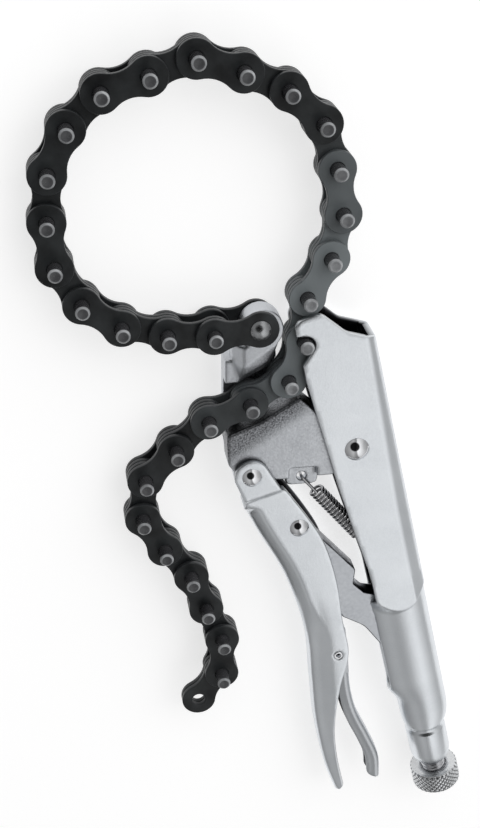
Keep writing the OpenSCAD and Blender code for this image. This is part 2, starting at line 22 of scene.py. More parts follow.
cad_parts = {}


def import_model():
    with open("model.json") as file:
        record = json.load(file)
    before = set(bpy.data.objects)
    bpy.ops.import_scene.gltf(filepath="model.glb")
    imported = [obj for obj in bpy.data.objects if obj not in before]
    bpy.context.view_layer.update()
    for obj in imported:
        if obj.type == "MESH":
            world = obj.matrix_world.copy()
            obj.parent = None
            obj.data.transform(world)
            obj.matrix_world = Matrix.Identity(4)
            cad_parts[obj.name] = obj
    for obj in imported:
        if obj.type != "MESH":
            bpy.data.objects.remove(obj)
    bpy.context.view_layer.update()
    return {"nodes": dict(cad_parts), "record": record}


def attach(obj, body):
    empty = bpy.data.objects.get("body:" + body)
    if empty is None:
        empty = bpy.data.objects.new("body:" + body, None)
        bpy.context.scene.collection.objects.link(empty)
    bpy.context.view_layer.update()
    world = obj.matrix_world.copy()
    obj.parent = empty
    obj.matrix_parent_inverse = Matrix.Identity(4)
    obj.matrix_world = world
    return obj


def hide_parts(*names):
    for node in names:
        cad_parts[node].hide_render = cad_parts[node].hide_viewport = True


LOG = logging.getLogger("chain_wrench")
MM = 0.001
WELD_M = 2e-6
NOISE = (0.3, 0.7)
HOOKED_PIN = 19
SPRING_TAB = (-18.8, -13.1)
SPRING_LUG = (10.0, -48.0)

Array = np.ndarray
Skin = Callable[[Array], Array]
Pair = tuple[float, float]
Triple = tuple[float, float, float]
Colour = Triple
Groups = tuple[bpy.types.NodeTree, bpy.types.NodeTree]
Finish = bpy.types.Material
Socket = bpy.types.NodeSocket


class Cap(Enum):
    """How the faces of a sheet are shaded."""

    FLAT = False
    CURVED = True


class Slot(Enum):
    """Material slots of the record."""

    HANDLE = "handle"
    FORGED = "forged"
    LEVER = "lever"
    BRIGHT = "bright"
    LINK = "link"
    SPRING = "spring"
    SCREW = "screw"
    KNOB = "knob"
    CHAIN = "chain"
    PIN = "pin"


# Plane geometry


def columns(*parts: float | Array) -> Array:
    """Puts numbers and arrays side by side along a new last axis."""
    return np.stack(np.broadcast_arrays(*parts), axis=-1)


def heading(degrees: float | Array) -> Array:
    """Gives the unit vector at an angle from the x axis."""
    angle = np.radians(degrees)
    return columns(np.cos(angle), np.sin(angle))


def unit(vectors: Array) -> Array:
    """Scales vectors, along their last axis, to length one."""
    return vectors / np.maximum(np.linalg.norm(vectors, axis=-1, keepdims=True), 1e-12)


def left_of(vectors: Array) -> Array:
    """Turns plane vectors a quarter turn to the left."""
    return columns(-vectors[..., 1], vectors[..., 0])


def ease(value: Array, low: float, high: float) -> Array:
    """Rises from 0 at low to 1 at high with level ends: 3x^2 - 2x^3."""
    x = np.clip((value - low) / (high - low), 0.0, 1.0)
    return x * x * (3.0 - 2.0 * x)


def arc(centre: Pair | Array, radius: float, start: float, end: float, steps: int) -> Array:
    """Gives the points of an arc between two angles in degrees.

    Args:
        centre: Middle of the arc.
        radius: Radius of the arc.
        start: First angle.
        end: Last angle.
        steps: Number of chords.

    Returns:
        Points of shape (steps + 1, 2).
    """
    return np.asarray(centre) + radius * heading(np.linspace(start, end, steps + 1))


def bore(centre: Pair | Array, radius: float, count: int) -> Array:
    """Gives evenly spaced points round a hole."""
    return arc(centre, radius, 0.0, 360.0 - 360.0 / count, count - 1)


def mirrored(side: Array) -> Array:
    """Goes along a side and back along its mirror image beyond the first axis."""
    return np.concatenate([side, side[::-1] * [1.0, -1.0]])


def rounded(corners: list[Triple], steps: int = 8) -> Array:
    """Rounds a closed outline's corners with arcs that touch both of their sides.

    Args:
        corners: Corners as x, y and radius.
        steps: Chords of each arc.

    Returns:
        The outline's points, without repeats.
    """
    table = np.asarray(corners, dtype=float)
    middle, radius = table[:, :2], table[:, 2:]
    back = unit(np.roll(middle, 1, axis=0) - middle)
    on = unit(np.roll(middle, -1, axis=0) - middle)
    half = np.arccos(np.clip(np.sum(back * on, axis=1, keepdims=True), -1.0, 1.0)) / 2.0
    centre = middle + unit(back + on) * radius / np.sin(half)
    first = middle + back * radius / np.tan(half) - centre
    last = middle + on * radius / np.tan(half) - centre
    start = np.arctan2(first[:, 1], first[:, 0])
    turn = (np.arctan2(last[:, 1], last[:, 0]) - start + np.pi) % (2.0 * np.pi) - np.pi
    angle = start[:, None] + turn[:, None] * np.linspace(0.0, 1.0, steps + 1)
    arcs = centre[:, None] + radius[:, None] * columns(np.cos(angle), np.sin(angle))
    arcs = np.where(radius[:, None] > 0.0, arcs, middle[:, None])
    return distinct(arcs.reshape(-1, 2))


def distinct(loop: Array) -> Array:
    """Drops a closed outline's repeated points."""
    gap = np.linalg.norm(loop - np.roll(loop, 1, axis=0), axis=1)
    return loop[gap > 1e-4]


def spaced(loop: Array, gap: float) -> Array:
    """Splits the sides of a closed outline that are longer than a gap into equal steps."""
    after = np.roll(loop, -1, axis=0)
    counts = np.maximum(np.ceil(np.linalg.norm(after - loop, axis=1) / gap - 1e-6), 1).astype(int)
    side = np.repeat(np.arange(len(loop)), counts)
    step = np.arange(len(side)) - np.repeat(np.cumsum(counts) - counts, counts)
    share = (step / counts[side])[:, None]
    return loop[side] + (after - loop)[side] * share


def through(points: Array, steps: int = 10) -> Array:
    """Draws a smooth curve through points, with a cubic between each pair (Catmull-Rom)."""
    known = np.concatenate([points[:1], points, points[-1:]])
    a, b, c, d = (known[k : len(known) - 3 + k, None] for k in range(4))
    t = (np.arange(steps) / steps)[None, :, None]
    cubic = 2 * b + (c - a) * t + (2 * a - 5 * b + 4 * c - d) * t**2 + (3 * b - a - 3 * c + d) * t**3
    return np.concatenate([cubic.reshape(-1, points.shape[1]) / 2.0, points[-1:]])


def lengths(line: Array) -> Array:
    """Gives the length of a line from its start to each of its points."""
    return np.concatenate([[0.0], np.cumsum(np.linalg.norm(np.diff(line, axis=0), axis=1))])


def along_line(t: Array, length: Array, line: Array) -> Array:
    """Gives the places of a plane line at some lengths from its start."""
    return columns(*(np.interp(t, length, line[:, k]) for k in (0, 1)))


def spun(way: Array) -> Array:
    """Gives the matrix that turns the x axis to a direction of the plan."""
    return np.array([[way[0], -way[1], 0.0], [way[1], way[0], 0.0], [0.0, 0.0, 1.0]])


def signed_area(loop: Array) -> float:
    """Gives a closed outline's area, positive if it turns to the left."""
    after = np.roll(loop, -1, axis=0)
    return float(np.sum(loop[:, 0] * after[:, 1] - after[:, 0] * loop[:, 1]) / 2.0)


def inside(points: Array, loops: list[Array]) -> Array:
    """Tells which points lie inside an outline and outside its holes, by counting crossings."""
    crossings = np.zeros(len(points), dtype=int)
    x, y = points[:, :1], points[:, 1:]
    for loop in loops:
        after = np.roll(loop, -1, axis=0)
        x0, y0, x1, y1 = loop[:, 0], loop[:, 1], after[:, 0], after[:, 1]
        spans = (y0 > y) != (y1 > y)
        rise = np.where(y1 == y0, 1.0, y1 - y0)
        crossings += np.sum(spans & (x < x0 + (y - y0) / rise * (x1 - x0)), axis=1)
    return crossings % 2 == 1


def clearance(points: Array, loops: list[Array]) -> Array:
    """Gives each point's distance from the nearest corner of some outlines."""
    corners = np.concatenate(loops)
    return np.sqrt(np.min(np.sum((points[:, None] - corners[None]) ** 2, axis=2), axis=1))


# Surfaces


@dataclass
class Surface:
    """A mesh in the drawing's millimetres.

    Attributes:
        points: Corners of the faces, of shape (n, 3).
        faces: Index arrays of three or four columns, each with its shading.
        worn: How much of an edge each point is, from 0 to 1.
        tone: A second share of each point, from 0 to 1, whose meaning is the finish's: painted shade on the
            metals, and lightness on the oxide, which on the chain's links is painted light.
    """

    points: Array
    faces: list[tuple[Array, Cap]]
    worn: Array
    tone: Array

    @classmethod
    def grid(cls, rows: Array, torus: bool = False) -> Surface:
        """Makes quads between the neighbours of a grid of points whose last column joins the first.

        Args:
            rows: Points of shape (rows, columns, 3).
            torus: Whether the last row joins the first too.

        Returns:
            The surface.
        """
        count = rows.shape[0] * rows.shape[1]
        index = np.arange(count).reshape(rows.shape[:2])
        index = np.concatenate([index, index[:, :1]], axis=1)
        if torus:
            index = np.concatenate([index, index[:1]], axis=0)
        quads = columns(index[:-1, :-1], index[1:, :-1], index[1:, 1:], index[:-1, 1:])
        faces = [(quads.reshape(-1, 4), Cap.CURVED)]
        return cls(rows.reshape(-1, 3), faces, np.zeros(count), np.zeros(count))

    @classmethod
    def joined(cls, parts: list[Surface]) -> Surface:
        """Puts several surfaces in one mesh."""
        starts = np.cumsum([0] + [len(p.points) for p in parts])
        faces = [(table + start, cap) for p, start in zip(parts, starts) for table, cap in p.faces]
        points, worn, tone = (np.concatenate(k) for k in zip(*((p.points, p.worn, p.tone) for p in parts)))
        return cls(points, faces, worn, tone)

    def turned(self, matrix: Array, offset: Array) -> Surface:
        """Gives a copy that is turned by a matrix and then moved."""
        return Surface(self.points @ matrix.T + offset, self.faces, self.worn, self.tone)

    def moved(self, plan: Array) -> Surface:
        """Gives a copy that is moved to a place of the plan."""
        return self.turned(np.eye(3), np.append(plan, 0.0))


@dataclass
class Sheet:
    """A plate or a pressed sheet: an outline with holes, carried to space by a formula, with a round edge.

    The outline lies in the plane of two parameters. The skin is the sheet's outer face, and its inner face
    lies a thickness below, along the skin's normal. Along the outline runs an edge of two quarter rounds.

    Attributes:
        loops: The outline and then its holes.
        skin: Takes parameters of shape (n, 2) to points of shape (n, 3).
        thick: Thickness of the sheet.
        edge: Radius of its edges.
        spacing: Distance between the skin's inner points, or 0 for a flat plate.
        sealed: Tells where the outline has no edge, because another surface goes on there.
        fine: Range of the first parameter in which the inner points lie three times as close.
        inner_shade: Share of painted shade on the inner face, which stands for the shade inside a folded
            sheet.
        arcs: Chords of each quarter round of an edge.
        rim_gap: Least distance of the inner points from the rim, as a share of the spacing.
    """

    loops: list[Array]
    skin: Skin
    thick: float
    edge: float
    spacing: float = 0.0
    sealed: Callable[[Array], Array] | None = None
    fine: Pair | None = None
    inner_shade: float = 0.0
    arcs: int = 3
    rim_gap: float = 0.6

    def build(self) -> Surface:
        """Makes the outer face, the inner face and the edges between them."""
        loops = [self._facing(loop, outer=k == 0) for k, loop in enumerate(self.loops)]
        insets = [self._inset(loop) for loop in loops]
        rims = [loop + shift * self.edge for loop, (shift, _) in zip(loops, insets)]
        flat, triangles = self._fill(rims)
        points, normals = lifted(self.skin, flat)
        shade = Cap.CURVED if self.spacing else Cap.FLAT
        plain = np.zeros(len(points))
        outer = Surface(points, [(triangles, shade)], plain, plain)
        below = points - normals * self.thick
        # The inner face takes painted shade through its tone, as shade inside the sheet.
        inner = Surface(below, [(triangles[:, ::-1], shade)], plain, plain + self.inner_shade)
        edges = [self._edge(loop, shift, closed) for loop, (shift, closed) in zip(loops, insets)]
        return Surface.joined([outer, inner] + edges)

    def _facing(self, loop: Array, outer: bool) -> Array:
        """Turns the outline to the left and a hole to the right, so that the sheet lies on its left."""
        return loop if (signed_area(loop) > 0.0) == outer else loop[::-1]

    def _inset(self, loop: Array) -> tuple[Array, Array]:
        """Gives each corner's way into the sheet, and which sides that start there have an edge."""
        along = unit(np.roll(loop, -1, axis=0) - loop)
        middle = (loop + np.roll(loop, -1, axis=0)) / 2.0
        edged = np.ones(len(loop), dtype=bool) if self.sealed is None else ~self.sealed(middle)
        on, back = left_of(along), np.roll(left_of(along), 1, axis=0)
        edged_back = np.roll(edged, 1)
        mitre = (on + back) / np.maximum(1.0 + np.sum(on * back, axis=1, keepdims=True), 0.5)
        shift = np.where((edged & edged_back)[:, None], mitre, np.where(edged[:, None], on, back))
        return shift * (edged | edged_back)[:, None], edged

    def _fill(self, rims: list[Array]) -> tuple[Array, Array]:
        """Fills the space between outlines with triangles, on a grid of points if there is a spacing."""
        flat = np.concatenate(rims)
        starts = np.cumsum([0] + [len(r) for r in rims[:-1]])
        rings = [start + np.arange(len(rim)) for rim, start in zip(rims, starts)]
        sides = [columns(ring, np.roll(ring, -1)) for ring in rings]
        if self.spacing:
            between = self._between(flat)
            between = between[inside(between, rims)]
            flat = np.concatenate([flat, between[clearance(between, rims) > self.rim_gap * self.spacing]])
        result = delaunay_2d_cdt(flat.tolist(), np.concatenate(sides).tolist(), [], 1, 1e-6)
        corners = np.array(result[0])
        triangles = np.array(result[2], dtype=int)
        centres = corners[triangles].mean(axis=1)
        return corners, triangles[inside(centres, rims)]

    def _between(self, flat: Array) -> Array:
        """Gives a grid of points over the sheet's box, with a closer one in its fine range."""
        low, high = flat.min(axis=0), flat.max(axis=0)

        def lattice(gap: float) -> Array:
            """Gives the points of an even grid."""
            steps = [np.arange(a + gap / 2.0, b, gap) for a, b in zip(low, high)]
            return columns(*np.meshgrid(*steps, indexing="ij")).reshape(-1, 2)

        points = lattice(self.spacing)
        if self.fine is None:
            return points
        close = lattice(self.spacing / 3.0)
        first, last = self.fine
        kept = (points[:, 0] < first) | (points[:, 0] > last)
        return np.concatenate([points[kept], close[(close[:, 0] > first) & (close[:, 0] < last)]])

    def _edge(self, loop: Array, shift: Array, edged: Array) -> Surface:
        """Carries the edge's profile, two quarter rounds and a wall, along an outline."""
        angle = np.linspace(0.0, np.pi / 2.0, self.arcs + 1)
        inset = self.edge * (1.0 - np.sin(angle))
        depth = self.edge * (1.0 - np.cos(angle))
        insets = np.concatenate([inset, inset[::-1]])
        depths = np.concatenate([depth, self.thick - depth[::-1]])
        flat = (loop[None] + shift[None] * insets[:, None, None]).reshape(-1, 2)
        points, normals = lifted(self.skin, flat)
        points = points - normals * np.repeat(depths, len(loop))[:, None]
        rows = points.reshape(len(insets), len(loop), 3)
        surface = Surface.grid(rows)
        surface.worn = np.repeat((depths > 0.0) & (depths < self.thick), len(loop)).astype(float)
        # The edge's wall grades into the inner face's painted shade.
        surface.tone = np.repeat(depths / self.thick * self.inner_shade, len(loop))
        quads = surface.faces[0][0].reshape(len(insets) - 1, len(loop), 4)
        surface.faces = [(quads[:, edged].reshape(-1, 4), Cap.CURVED)]
        return surface


def lifted(skin: Skin, flat: Array) -> tuple[Array, Array]:
    """Carries parameters to a skin, with the skin's normals from small steps both ways.

    Args:
        skin: The skin's formula.
        flat: Parameters of shape (n, 2).

    Returns:
        Points and normals, both of shape (n, 3).
    """
    step = 1e-3
    along = skin(flat + [step, 0.0]) - skin(flat - [step, 0.0])
    across = skin(flat + [0.0, step]) - skin(flat - [0.0, step])
    return skin(flat), unit(np.cross(along, across))


def level(z: float) -> Skin:
    """Gives the skin of a flat plate at a height."""
    return lambda flat: columns(*flat.T, z)


@dataclass(frozen=True)
class Fold:
    """The fold from a sheet's flat back to its flat side: two arcs, one after the other.

    Attributes:
        side: Height of the side over the middle plane.
        tight: Radius of the first arc.
        turn: Angle from the back at which the first arc ends.
        wide: Radius of the second arc.
        lean: Angle from the back at which the second arc ends, with a crease if that is under a right angle.
    """

    side: float
    tight: float | Array
    turn: float | Array
    wide: float | Array
    lean: float | Array

    @property
    def rest(self) -> Array:
        """Half of the back's flat."""
        rise = self.tight * np.sin(self.turn) + self.wide * (np.sin(self.lean) - np.sin(self.turn))
        return self.side - rise

    @property
    def length(self) -> Array:
        """Length of sheet from the middle of the back to the side."""
        return self.rest + self.tight * self.turn + self.wide * (self.lean - self.turn)

    @property
    def depth(self) -> Array:
        """Distance in from the back at which the side starts."""
        return self.tight * (1.0 - np.cos(self.turn)) + self.wide * (np.cos(self.turn) - np.cos(self.lean))

    def at(self, q: Array) -> tuple[Array, Array]:
        """Gives the distance in from the back, and the height, at a length of sheet.

        Args:
            q: Length of sheet from the middle of the back.

        Returns:
            Distances and heights.
        """
        first = np.clip((q - self.rest) / self.tight, 0.0, self.turn)
        past = q - self.rest - self.tight * self.turn
        second = np.clip(self.turn + past / self.wide, self.turn, self.lean)
        run = np.maximum(q - self.length, 0.0)
        d = self.tight * (1.0 - np.cos(first)) + self.wide * (np.cos(self.turn) - np.cos(second)) + run
        rise = self.tight * np.sin(first) + self.wide * (np.sin(second) - np.sin(self.turn))
        return d, np.minimum(q, self.rest) + rise


def lathe(profile: Array, steps: int, torus: bool = False, worn: Array | None = None) -> Surface:
    """Turns a profile of radius and height about the z axis.

    Args:
        profile: Radius and height of each ring, of shape (n, 2).
        steps: Points round a ring.
        torus: Whether the profile closes on itself.
        worn: Wear of each ring.

    Returns:
        The turned surface.
    """
    angle = np.linspace(0.0, 2.0 * np.pi, steps, endpoint=False)
    radius, height = profile[:, :1], np.repeat(profile[:, 1:], steps, axis=1)
    surface = Surface.grid(columns(radius * np.cos(angle), radius * np.sin(angle), height), torus)
    if worn is not None:
        surface.worn = np.repeat(worn, steps)
    return surface


def tube(path: Array, side: Array, radius: float, sides: int = 12) -> Surface:
    """Carries a circle along a path.

    Args:
        path: Points of the path, of shape (n, 3).
        side: A direction across the path at each point.
        radius: Radius of the tube.
        sides: Points round the tube.

    Returns:
        The tube, closed at both ends.
    """
    along = unit(np.gradient(path, axis=0))
    side = unit(side - np.sum(side * along, axis=1, keepdims=True) * along)
    up = np.cross(along, side)
    angle = np.linspace(0.0, 2.0 * np.pi, sides, endpoint=False)[None, :, None]
    rings = path[:, None] + radius * (np.cos(angle) * side[:, None] + np.sin(angle) * up[:, None])
    ends = [np.repeat(path[k : k + 1, None], sides, axis=1) for k in (0, len(path) - 1)]
    return Surface.grid(np.concatenate([ends[0], rings, ends[1]]))


# Frame


@dataclass(frozen=True)
class Placing:
    """Places of the tool's pivots and pins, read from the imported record.

    Attributes:
        origin: The main pivot in the frame's metres.
        pivots: Plan place of each hinge, in millimetres from the main pivot.
        pins: Plan places of the chain's pins, with the free eye last.
        along: Direction of the fixed handle, towards the knob.
    """

    origin: Array
    pivots: dict[str, Array]
    pins: Array
    along: Array

    @classmethod
    def read(cls, record: dict) -> Placing:
        """Reads the places from the record's hinges and from the mount of the chain's free eye."""
        joints = {j["name"]: j for j in record["behaviour"]["joints"]}
        origin = np.array(joints["jaw_swing"]["pos_m"])
        plan = {n: (np.array(j["pos_m"]) - origin)[:2] / MM for n, j in joints.items() if "pos_m" in j}
        eye = next(m for m in record["mounts"] if m["name"] == "tail_eye")
        hinges = sorted(n for n in plan if n.startswith("chain_hinge"))
        pins = np.array([plan[n] for n in hinges] + [(np.array(eye["pos_m"]) - origin)[:2] / MM])
        return cls(origin, plan, pins, np.array(joints["knob_turn"]["axis"][:2]))

    def to_handle(self, plan: Array) -> Array:
        """Gives a plan place in the handle's axes: down its spine, and towards the spine's back."""
        return columns(plan @ self.along, plan @ left_of(self.along))

    def from_handle(self, points: Array) -> Array:
        """Takes points of the handle's axes to the drawing."""
        plan = points[..., :1] * self.along + points[..., 1:2] * left_of(self.along)
        return np.concatenate([plan, points[..., 2:]], axis=-1)


@dataclass(frozen=True)
class Workshop:
    """Turns surfaces into pieces of the scene.

    Attributes:
        placing: The placing that every piece shares.
        solids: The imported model's nodes by name.
    """

    placing: Placing
    solids: dict[str, bpy.types.Object]

    def add(
        self, name: str, shape: Surface | bpy.types.Mesh, finish: Finish, body: str, slot: Slot, *nodes: str
    ) -> None:
        """Makes a piece, gives it its finish and hangs it on its body.

        Args:
            name: Name of the piece.
            shape: Its surface in millimetres, or its mesh in the frame's metres.
            finish: Its material.
            body: Body that it rides on.
            slot: Material slot of the record; not used.
            *nodes: Nodes that it stands for.
        """
        mesh = self.mesh(name, shape) if isinstance(shape, Surface) else shape
        mesh.materials.clear()
        mesh.materials.append(finish)
        piece = bpy.data.objects.new(name, mesh)
        bpy.context.scene.collection.objects.link(piece)
        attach(piece, body)
        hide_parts(*nodes)
        LOG.info("%s: %d faces on %s", piece.name, len(mesh.polygons), body)

    def mesh(self, name: str, surface: Surface) -> bpy.types.Mesh:
        """Writes a surface as a mesh in the frame's metres, with its wear and tone as attributes."""
        mesh = bpy.data.meshes.new(name)
        points = surface.points * MM + self.placing.origin
        loops = np.concatenate([table.reshape(-1) for table, _ in surface.faces])
        sizes = np.concatenate([np.full(len(table), table.shape[1]) for table, _ in surface.faces])
        smooth = np.concatenate([np.full(len(table), cap.value) for table, cap in surface.faces])
        mesh.vertices.add(len(points))
        mesh.vertices.foreach_set("co", points.ravel())
        mesh.loops.add(len(loops))
        mesh.loops.foreach_set("vertex_index", loops.astype(np.int32))
        mesh.polygons.add(len(sizes))
        mesh.polygons.foreach_set("loop_start", (np.cumsum(sizes) - sizes).astype(np.int32))
        mesh.polygons.foreach_set("use_smooth", smooth)
        mesh.update(calc_edges=True)
        for key, values in (("worn", surface.worn), ("tone", surface.tone)):
            mesh.attributes.new(key, "FLOAT", "POINT").data.foreach_set("value", values.astype(np.float32))
        self._close(mesh)
        return mesh

    @staticmethod
    def _close(mesh: bpy.types.Mesh) -> None:
        """Merges points that lie together and turns the faces outwards."""
        work = bmesh.new()
        work.from_mesh(mesh)
        bmesh.ops.remove_doubles(work, verts=work.verts, dist=WELD_M)
        bmesh.ops.recalc_face_normals(work, faces=work.faces)
        work.to_mesh(mesh)
        work.free()


# Finishes


class Nodes:
    """A small writer of shader nodes."""

    def __init__(self, tree: bpy.types.NodeTree) -> None:
        """Keeps the tree that nodes go into."""
        self.tree = tree

    @classmethod
    def cleared(cls, owner: bpy.types.Material | bpy.types.World) -> Nodes:
        """Starts an empty tree in a material or a world."""
        owner.use_nodes = True
        owner.node_tree.nodes.clear()
        return cls(owner.node_tree)

    def add(self, kind: str, inputs: dict | None = None, **settings: object) -> bpy.types.Node:
        """Adds a node.

        Args:
            kind: Blender's name of the node's type.
            inputs: Values, or sockets to link from, by input name or number.
            **settings: Settings of the node.

        Returns:
            The node.
        """
        node = self.tree.nodes.new(kind)
        for key, value in settings.items():
            setattr(node, key, value)
        for key, value in (inputs or {}).items():
            if isinstance(value, Socket):
                self.tree.links.new(value, node.inputs[key])
            else:
                node.inputs[key].default_value = value
        return node

    def mix(self, share: object, first: object, second: object) -> Socket:
        """Mixes two colours by a share."""
        return self.add("ShaderNodeMix", {0: share, 6: first, 7: second}, data_type="RGBA").outputs[2]

    def math(self, operation: str, *values: object) -> Socket:
        """Works out a formula of one operation."""
        return self.add("ShaderNodeMath", dict(enumerate(values)), operation=operation).outputs[0]

    def span(self, value: object, *ends: float) -> Socket:
        """Carries a value from one range, the first two ends, to another, held at its ends."""
        return self.add("ShaderNodeMapRange", dict(enumerate((value, *ends)))).outputs[0]

    def noise(self, place: Socket, scale: object, detail: float) -> Socket:
        """Gives a noise over places."""
        inputs = {"Vector": place, "Scale": scale, "Detail": detail}
        return self.add("ShaderNodeTexNoise", inputs).outputs["Fac"]

    def attribute(self, name: str) -> Socket:
        """Gives a value that the mesh carries."""
        return self.add("ShaderNodeAttribute", attribute_name=name).outputs["Fac"]


def new_group(
    name: str, inputs: dict[str, float], outputs: tuple[str, ...]
) -> tuple[Nodes, list[Socket], Socket]:
    """Starts a group of nodes that takes numbers and gives numbers.

    Args:
        name: Name of the group.
        inputs: Values of its inputs by name.
        outputs: Names of its outputs.

    Returns:
        The group's writer, the sockets of its inputs and the object's coordinates.
    """
    tree = bpy.data.node_groups.new(name, "ShaderNodeTree")
    for key, value in inputs.items():
        tree.interface.new_socket(key, in_out="INPUT", socket_type="NodeSocketFloat").default_value = value
    for key in outputs:
        tree.interface.new_socket(key, in_out="OUTPUT", socket_type="NodeSocketFloat")
    nodes = Nodes(tree)
    given = nodes.add("NodeGroupInput").outputs
    return nodes, list(given)[: len(inputs)], nodes.add("ShaderNodeTexCoord").outputs["Object"]


def grain_group() -> bpy.types.NodeTree:
    """Builds the group that gives metal its grain: a broad cloud, a fine mottle and a height."""
    scales = {"Cloud Scale": 60.0, "Mottle Scale": 900.0}
    nodes, (broad, fine), place = new_group("metal_grain", scales, ("Cloud", "Mottle", "Height"))
    cloud, mottle = nodes.noise(place, broad, 4.0), nodes.noise(place, fine, 3.0)
    cells = nodes.add("ShaderNodeTexVoronoi", {"Vector": place, "Scale": fine}).outputs["Distance"]
    height = nodes.math("ADD", mottle, nodes.math("MULTIPLY", cells, 0.6))
    nodes.add("NodeGroupOutput", {0: nodes.span(cloud, *NOISE, 0.0, 1.0), 1: mottle, 2: height})
    return nodes.tree


def wear_and_shade_group() -> bpy.types.NodeTree:
    """Builds the group that gives worn edges, and on some pieces painted shade, from one mask: the edge's own
    mask, broken up by noise.
    """
    nodes, (amount, scale), place = new_group("edge_wear", {"Amount": 0.5, "Scale": 300.0}, ("Mask",))
    spots = nodes.span(nodes.noise(place, scale, 3.0), *NOISE, 0.4, 1.0)
    broken = nodes.math("MULTIPLY", nodes.attribute("worn"), spots)
    nodes.add("NodeGroupOutput", {0: nodes.math("MULTIPLY", broken, amount)})
    return nodes.tree


class Coat:
    """A material that is being written: first its grain, wear and tone, and then its shader."""

    def __init__(self, name: str, groups: Groups, grain: Pair, wear: Pair) -> None:
        """Starts the material.

        Args:
            name: Name of the material.
            groups: The groups for grain and wear.
            grain: Scales of the broad and the fine variation.
            wear: Amount of wear, and scale of the noise that breaks it up.
        """
        self.material = bpy.data.materials.new(name)
        self.nodes = Nodes.cleared(self.material)
        scales = {"Cloud Scale": grain[0], "Mottle Scale": grain[1]}
        self.grain = self.nodes.add("ShaderNodeGroup", scales, node_tree=groups[0]).outputs
        amounts = {"Amount": wear[0], "Scale": wear[1]}
        self.worn = self.nodes.add("ShaderNodeGroup", amounts, node_tree=groups[1]).outputs["Mask"]
        self.tone = self.nodes.attribute("tone")

    def mix(self, share: Socket, first: object, second: Colour) -> Socket:
        """Mixes a colour into another one, or into a socket, by a share."""
        first = first if isinstance(first, Socket) else (*first, 1.0)
        return self.nodes.mix(share, first, (*second, 1.0))

    def shade(
        self, colour: Socket, gloss: Pair, relief: object, depth: float, shader: dict
    ) -> Finish:
        """Ends the material with its shader.

        Args:
            colour: Its colour.
            gloss: Least and most roughness.
            relief: Strength of the grain's relief.
            depth: Depth of the grain in metres.
            shader: Further values of the shader.

        Returns:
            The material.
        """
        rough = self.nodes.span(self.grain["Mottle"], *NOISE, *gloss)
        height = {"Height": self.grain["Height"], "Strength": relief, "Distance": depth}
        normal = self.nodes.add("ShaderNodeBump", height).outputs[0]
        inputs = {"Base Color": colour, "Roughness": rough, "Normal": normal, **shader}
        surface = self.nodes.add("ShaderNodeBsdfPrincipled", inputs).outputs[0]
        self.nodes.add("ShaderNodeOutputMaterial", {"Surface": surface})
        return self.material


@dataclass(frozen=True)
class Metal:
    """A bare or plated metal finish.

    Attributes:
        name: Name of the material.
        light: Colour of its light parts.
        dark: Colour of its dark parts.
        gloss: Least and most roughness.
        cloud: Scale of the broad variation.
        mottle: Scale of the fine variation.
        relief: Strength of the grain's relief.
        wear: How far its worn parts take their own colour.
        edge: Colour of worn parts; on the toggle link's walls and in the jaw's throat it is painted shade.
        wear_scale: Scale of the noise that breaks up worn parts.
        wear_relief: Further relief of worn parts.
        inner: Colour of painted shade where the tone is 1: inside a folded sheet, in the knob's grooves, and
            in part over the release lever.
    """

    name: str
    light: Colour
    dark: Colour
    gloss: Pair
    cloud: float = 60.0
    mottle: float = 900.0
    relief: float = 0.05
    wear: float = 0.0
    edge: Colour = (0.88, 0.9, 0.92)
    wear_scale: float = 300.0
    wear_relief: float = 0.0
    inner: Colour = (0.06, 0.06, 0.065)

    def make(self, groups: Groups) -> Finish:
        """Builds the material."""
        coat = Coat(self.name, groups, (self.cloud, self.mottle), (self.wear, self.wear_scale))
        nodes = coat.nodes
        fine = nodes.span(coat.grain["Mottle"], *NOISE, 0.5, 1.0)
        colour = coat.mix(nodes.math("MULTIPLY", coat.grain["Cloud"], fine), self.light, self.dark)
        # Worn parts take the edge colour, and the tone mixes in the inner colour as painted shade.
        colour = coat.mix(coat.tone, coat.mix(coat.worn, colour, self.edge), self.inner)
        relief = nodes.math("MULTIPLY_ADD", coat.worn, self.wear_relief, self.relief)
        return coat.shade(colour, self.gloss, relief, 0.0002, {"Metallic": 1.0})


@dataclass(frozen=True)
class Oxide:
    """A black oxide finish that is lighter by a piece's tone, which on the chain's links is painted light,
    and along its edges.

    Attributes:
        name: Name of the material.
        deep: Colour where it is darkest.
        pale: Colour of the lightest pieces; on the chain's links this lightness is painted light, on the pins
            it is their own lighter steel.
        edge: Colour of worn edges.
        gloss: Least and most roughness.
        wear: How much of an edge is worn.
        wear_scale: Scale of the noise that breaks up worn edges.
        grain: Scales of the broad and the fine variation.
        cloud: How much lighter the broad variation makes it.
        sheen: Strength of its reflections.
    """

    name: str
    deep: Colour
    pale: Colour
    edge: Colour
    gloss: Pair
    wear: float = 0.6
    wear_scale: float = 300.0
    grain: Pair = (120.0, 1500.0)
    cloud: float = 0.12
    sheen: float = 0.27

    def make(self, groups: Groups) -> Finish:
        """Builds the material."""
        coat = Coat(self.name, groups, self.grain, (self.wear, self.wear_scale))
        cloud = coat.nodes.span(coat.grain["Cloud"], 0.0, 1.0, 0.0, self.cloud)
        # On the chain's links the tone is painted light; on the pins it is their own lighter steel.
        colour = coat.mix(coat.nodes.math("ADD", coat.tone, cloud), self.deep, self.pale)
        colour = coat.mix(coat.worn, colour, self.edge)
        shader = {"Metallic": 0.0, "Specular IOR Level": self.sheen}
        return coat.shade(colour, self.gloss, 0.06, 0.0001, shader)


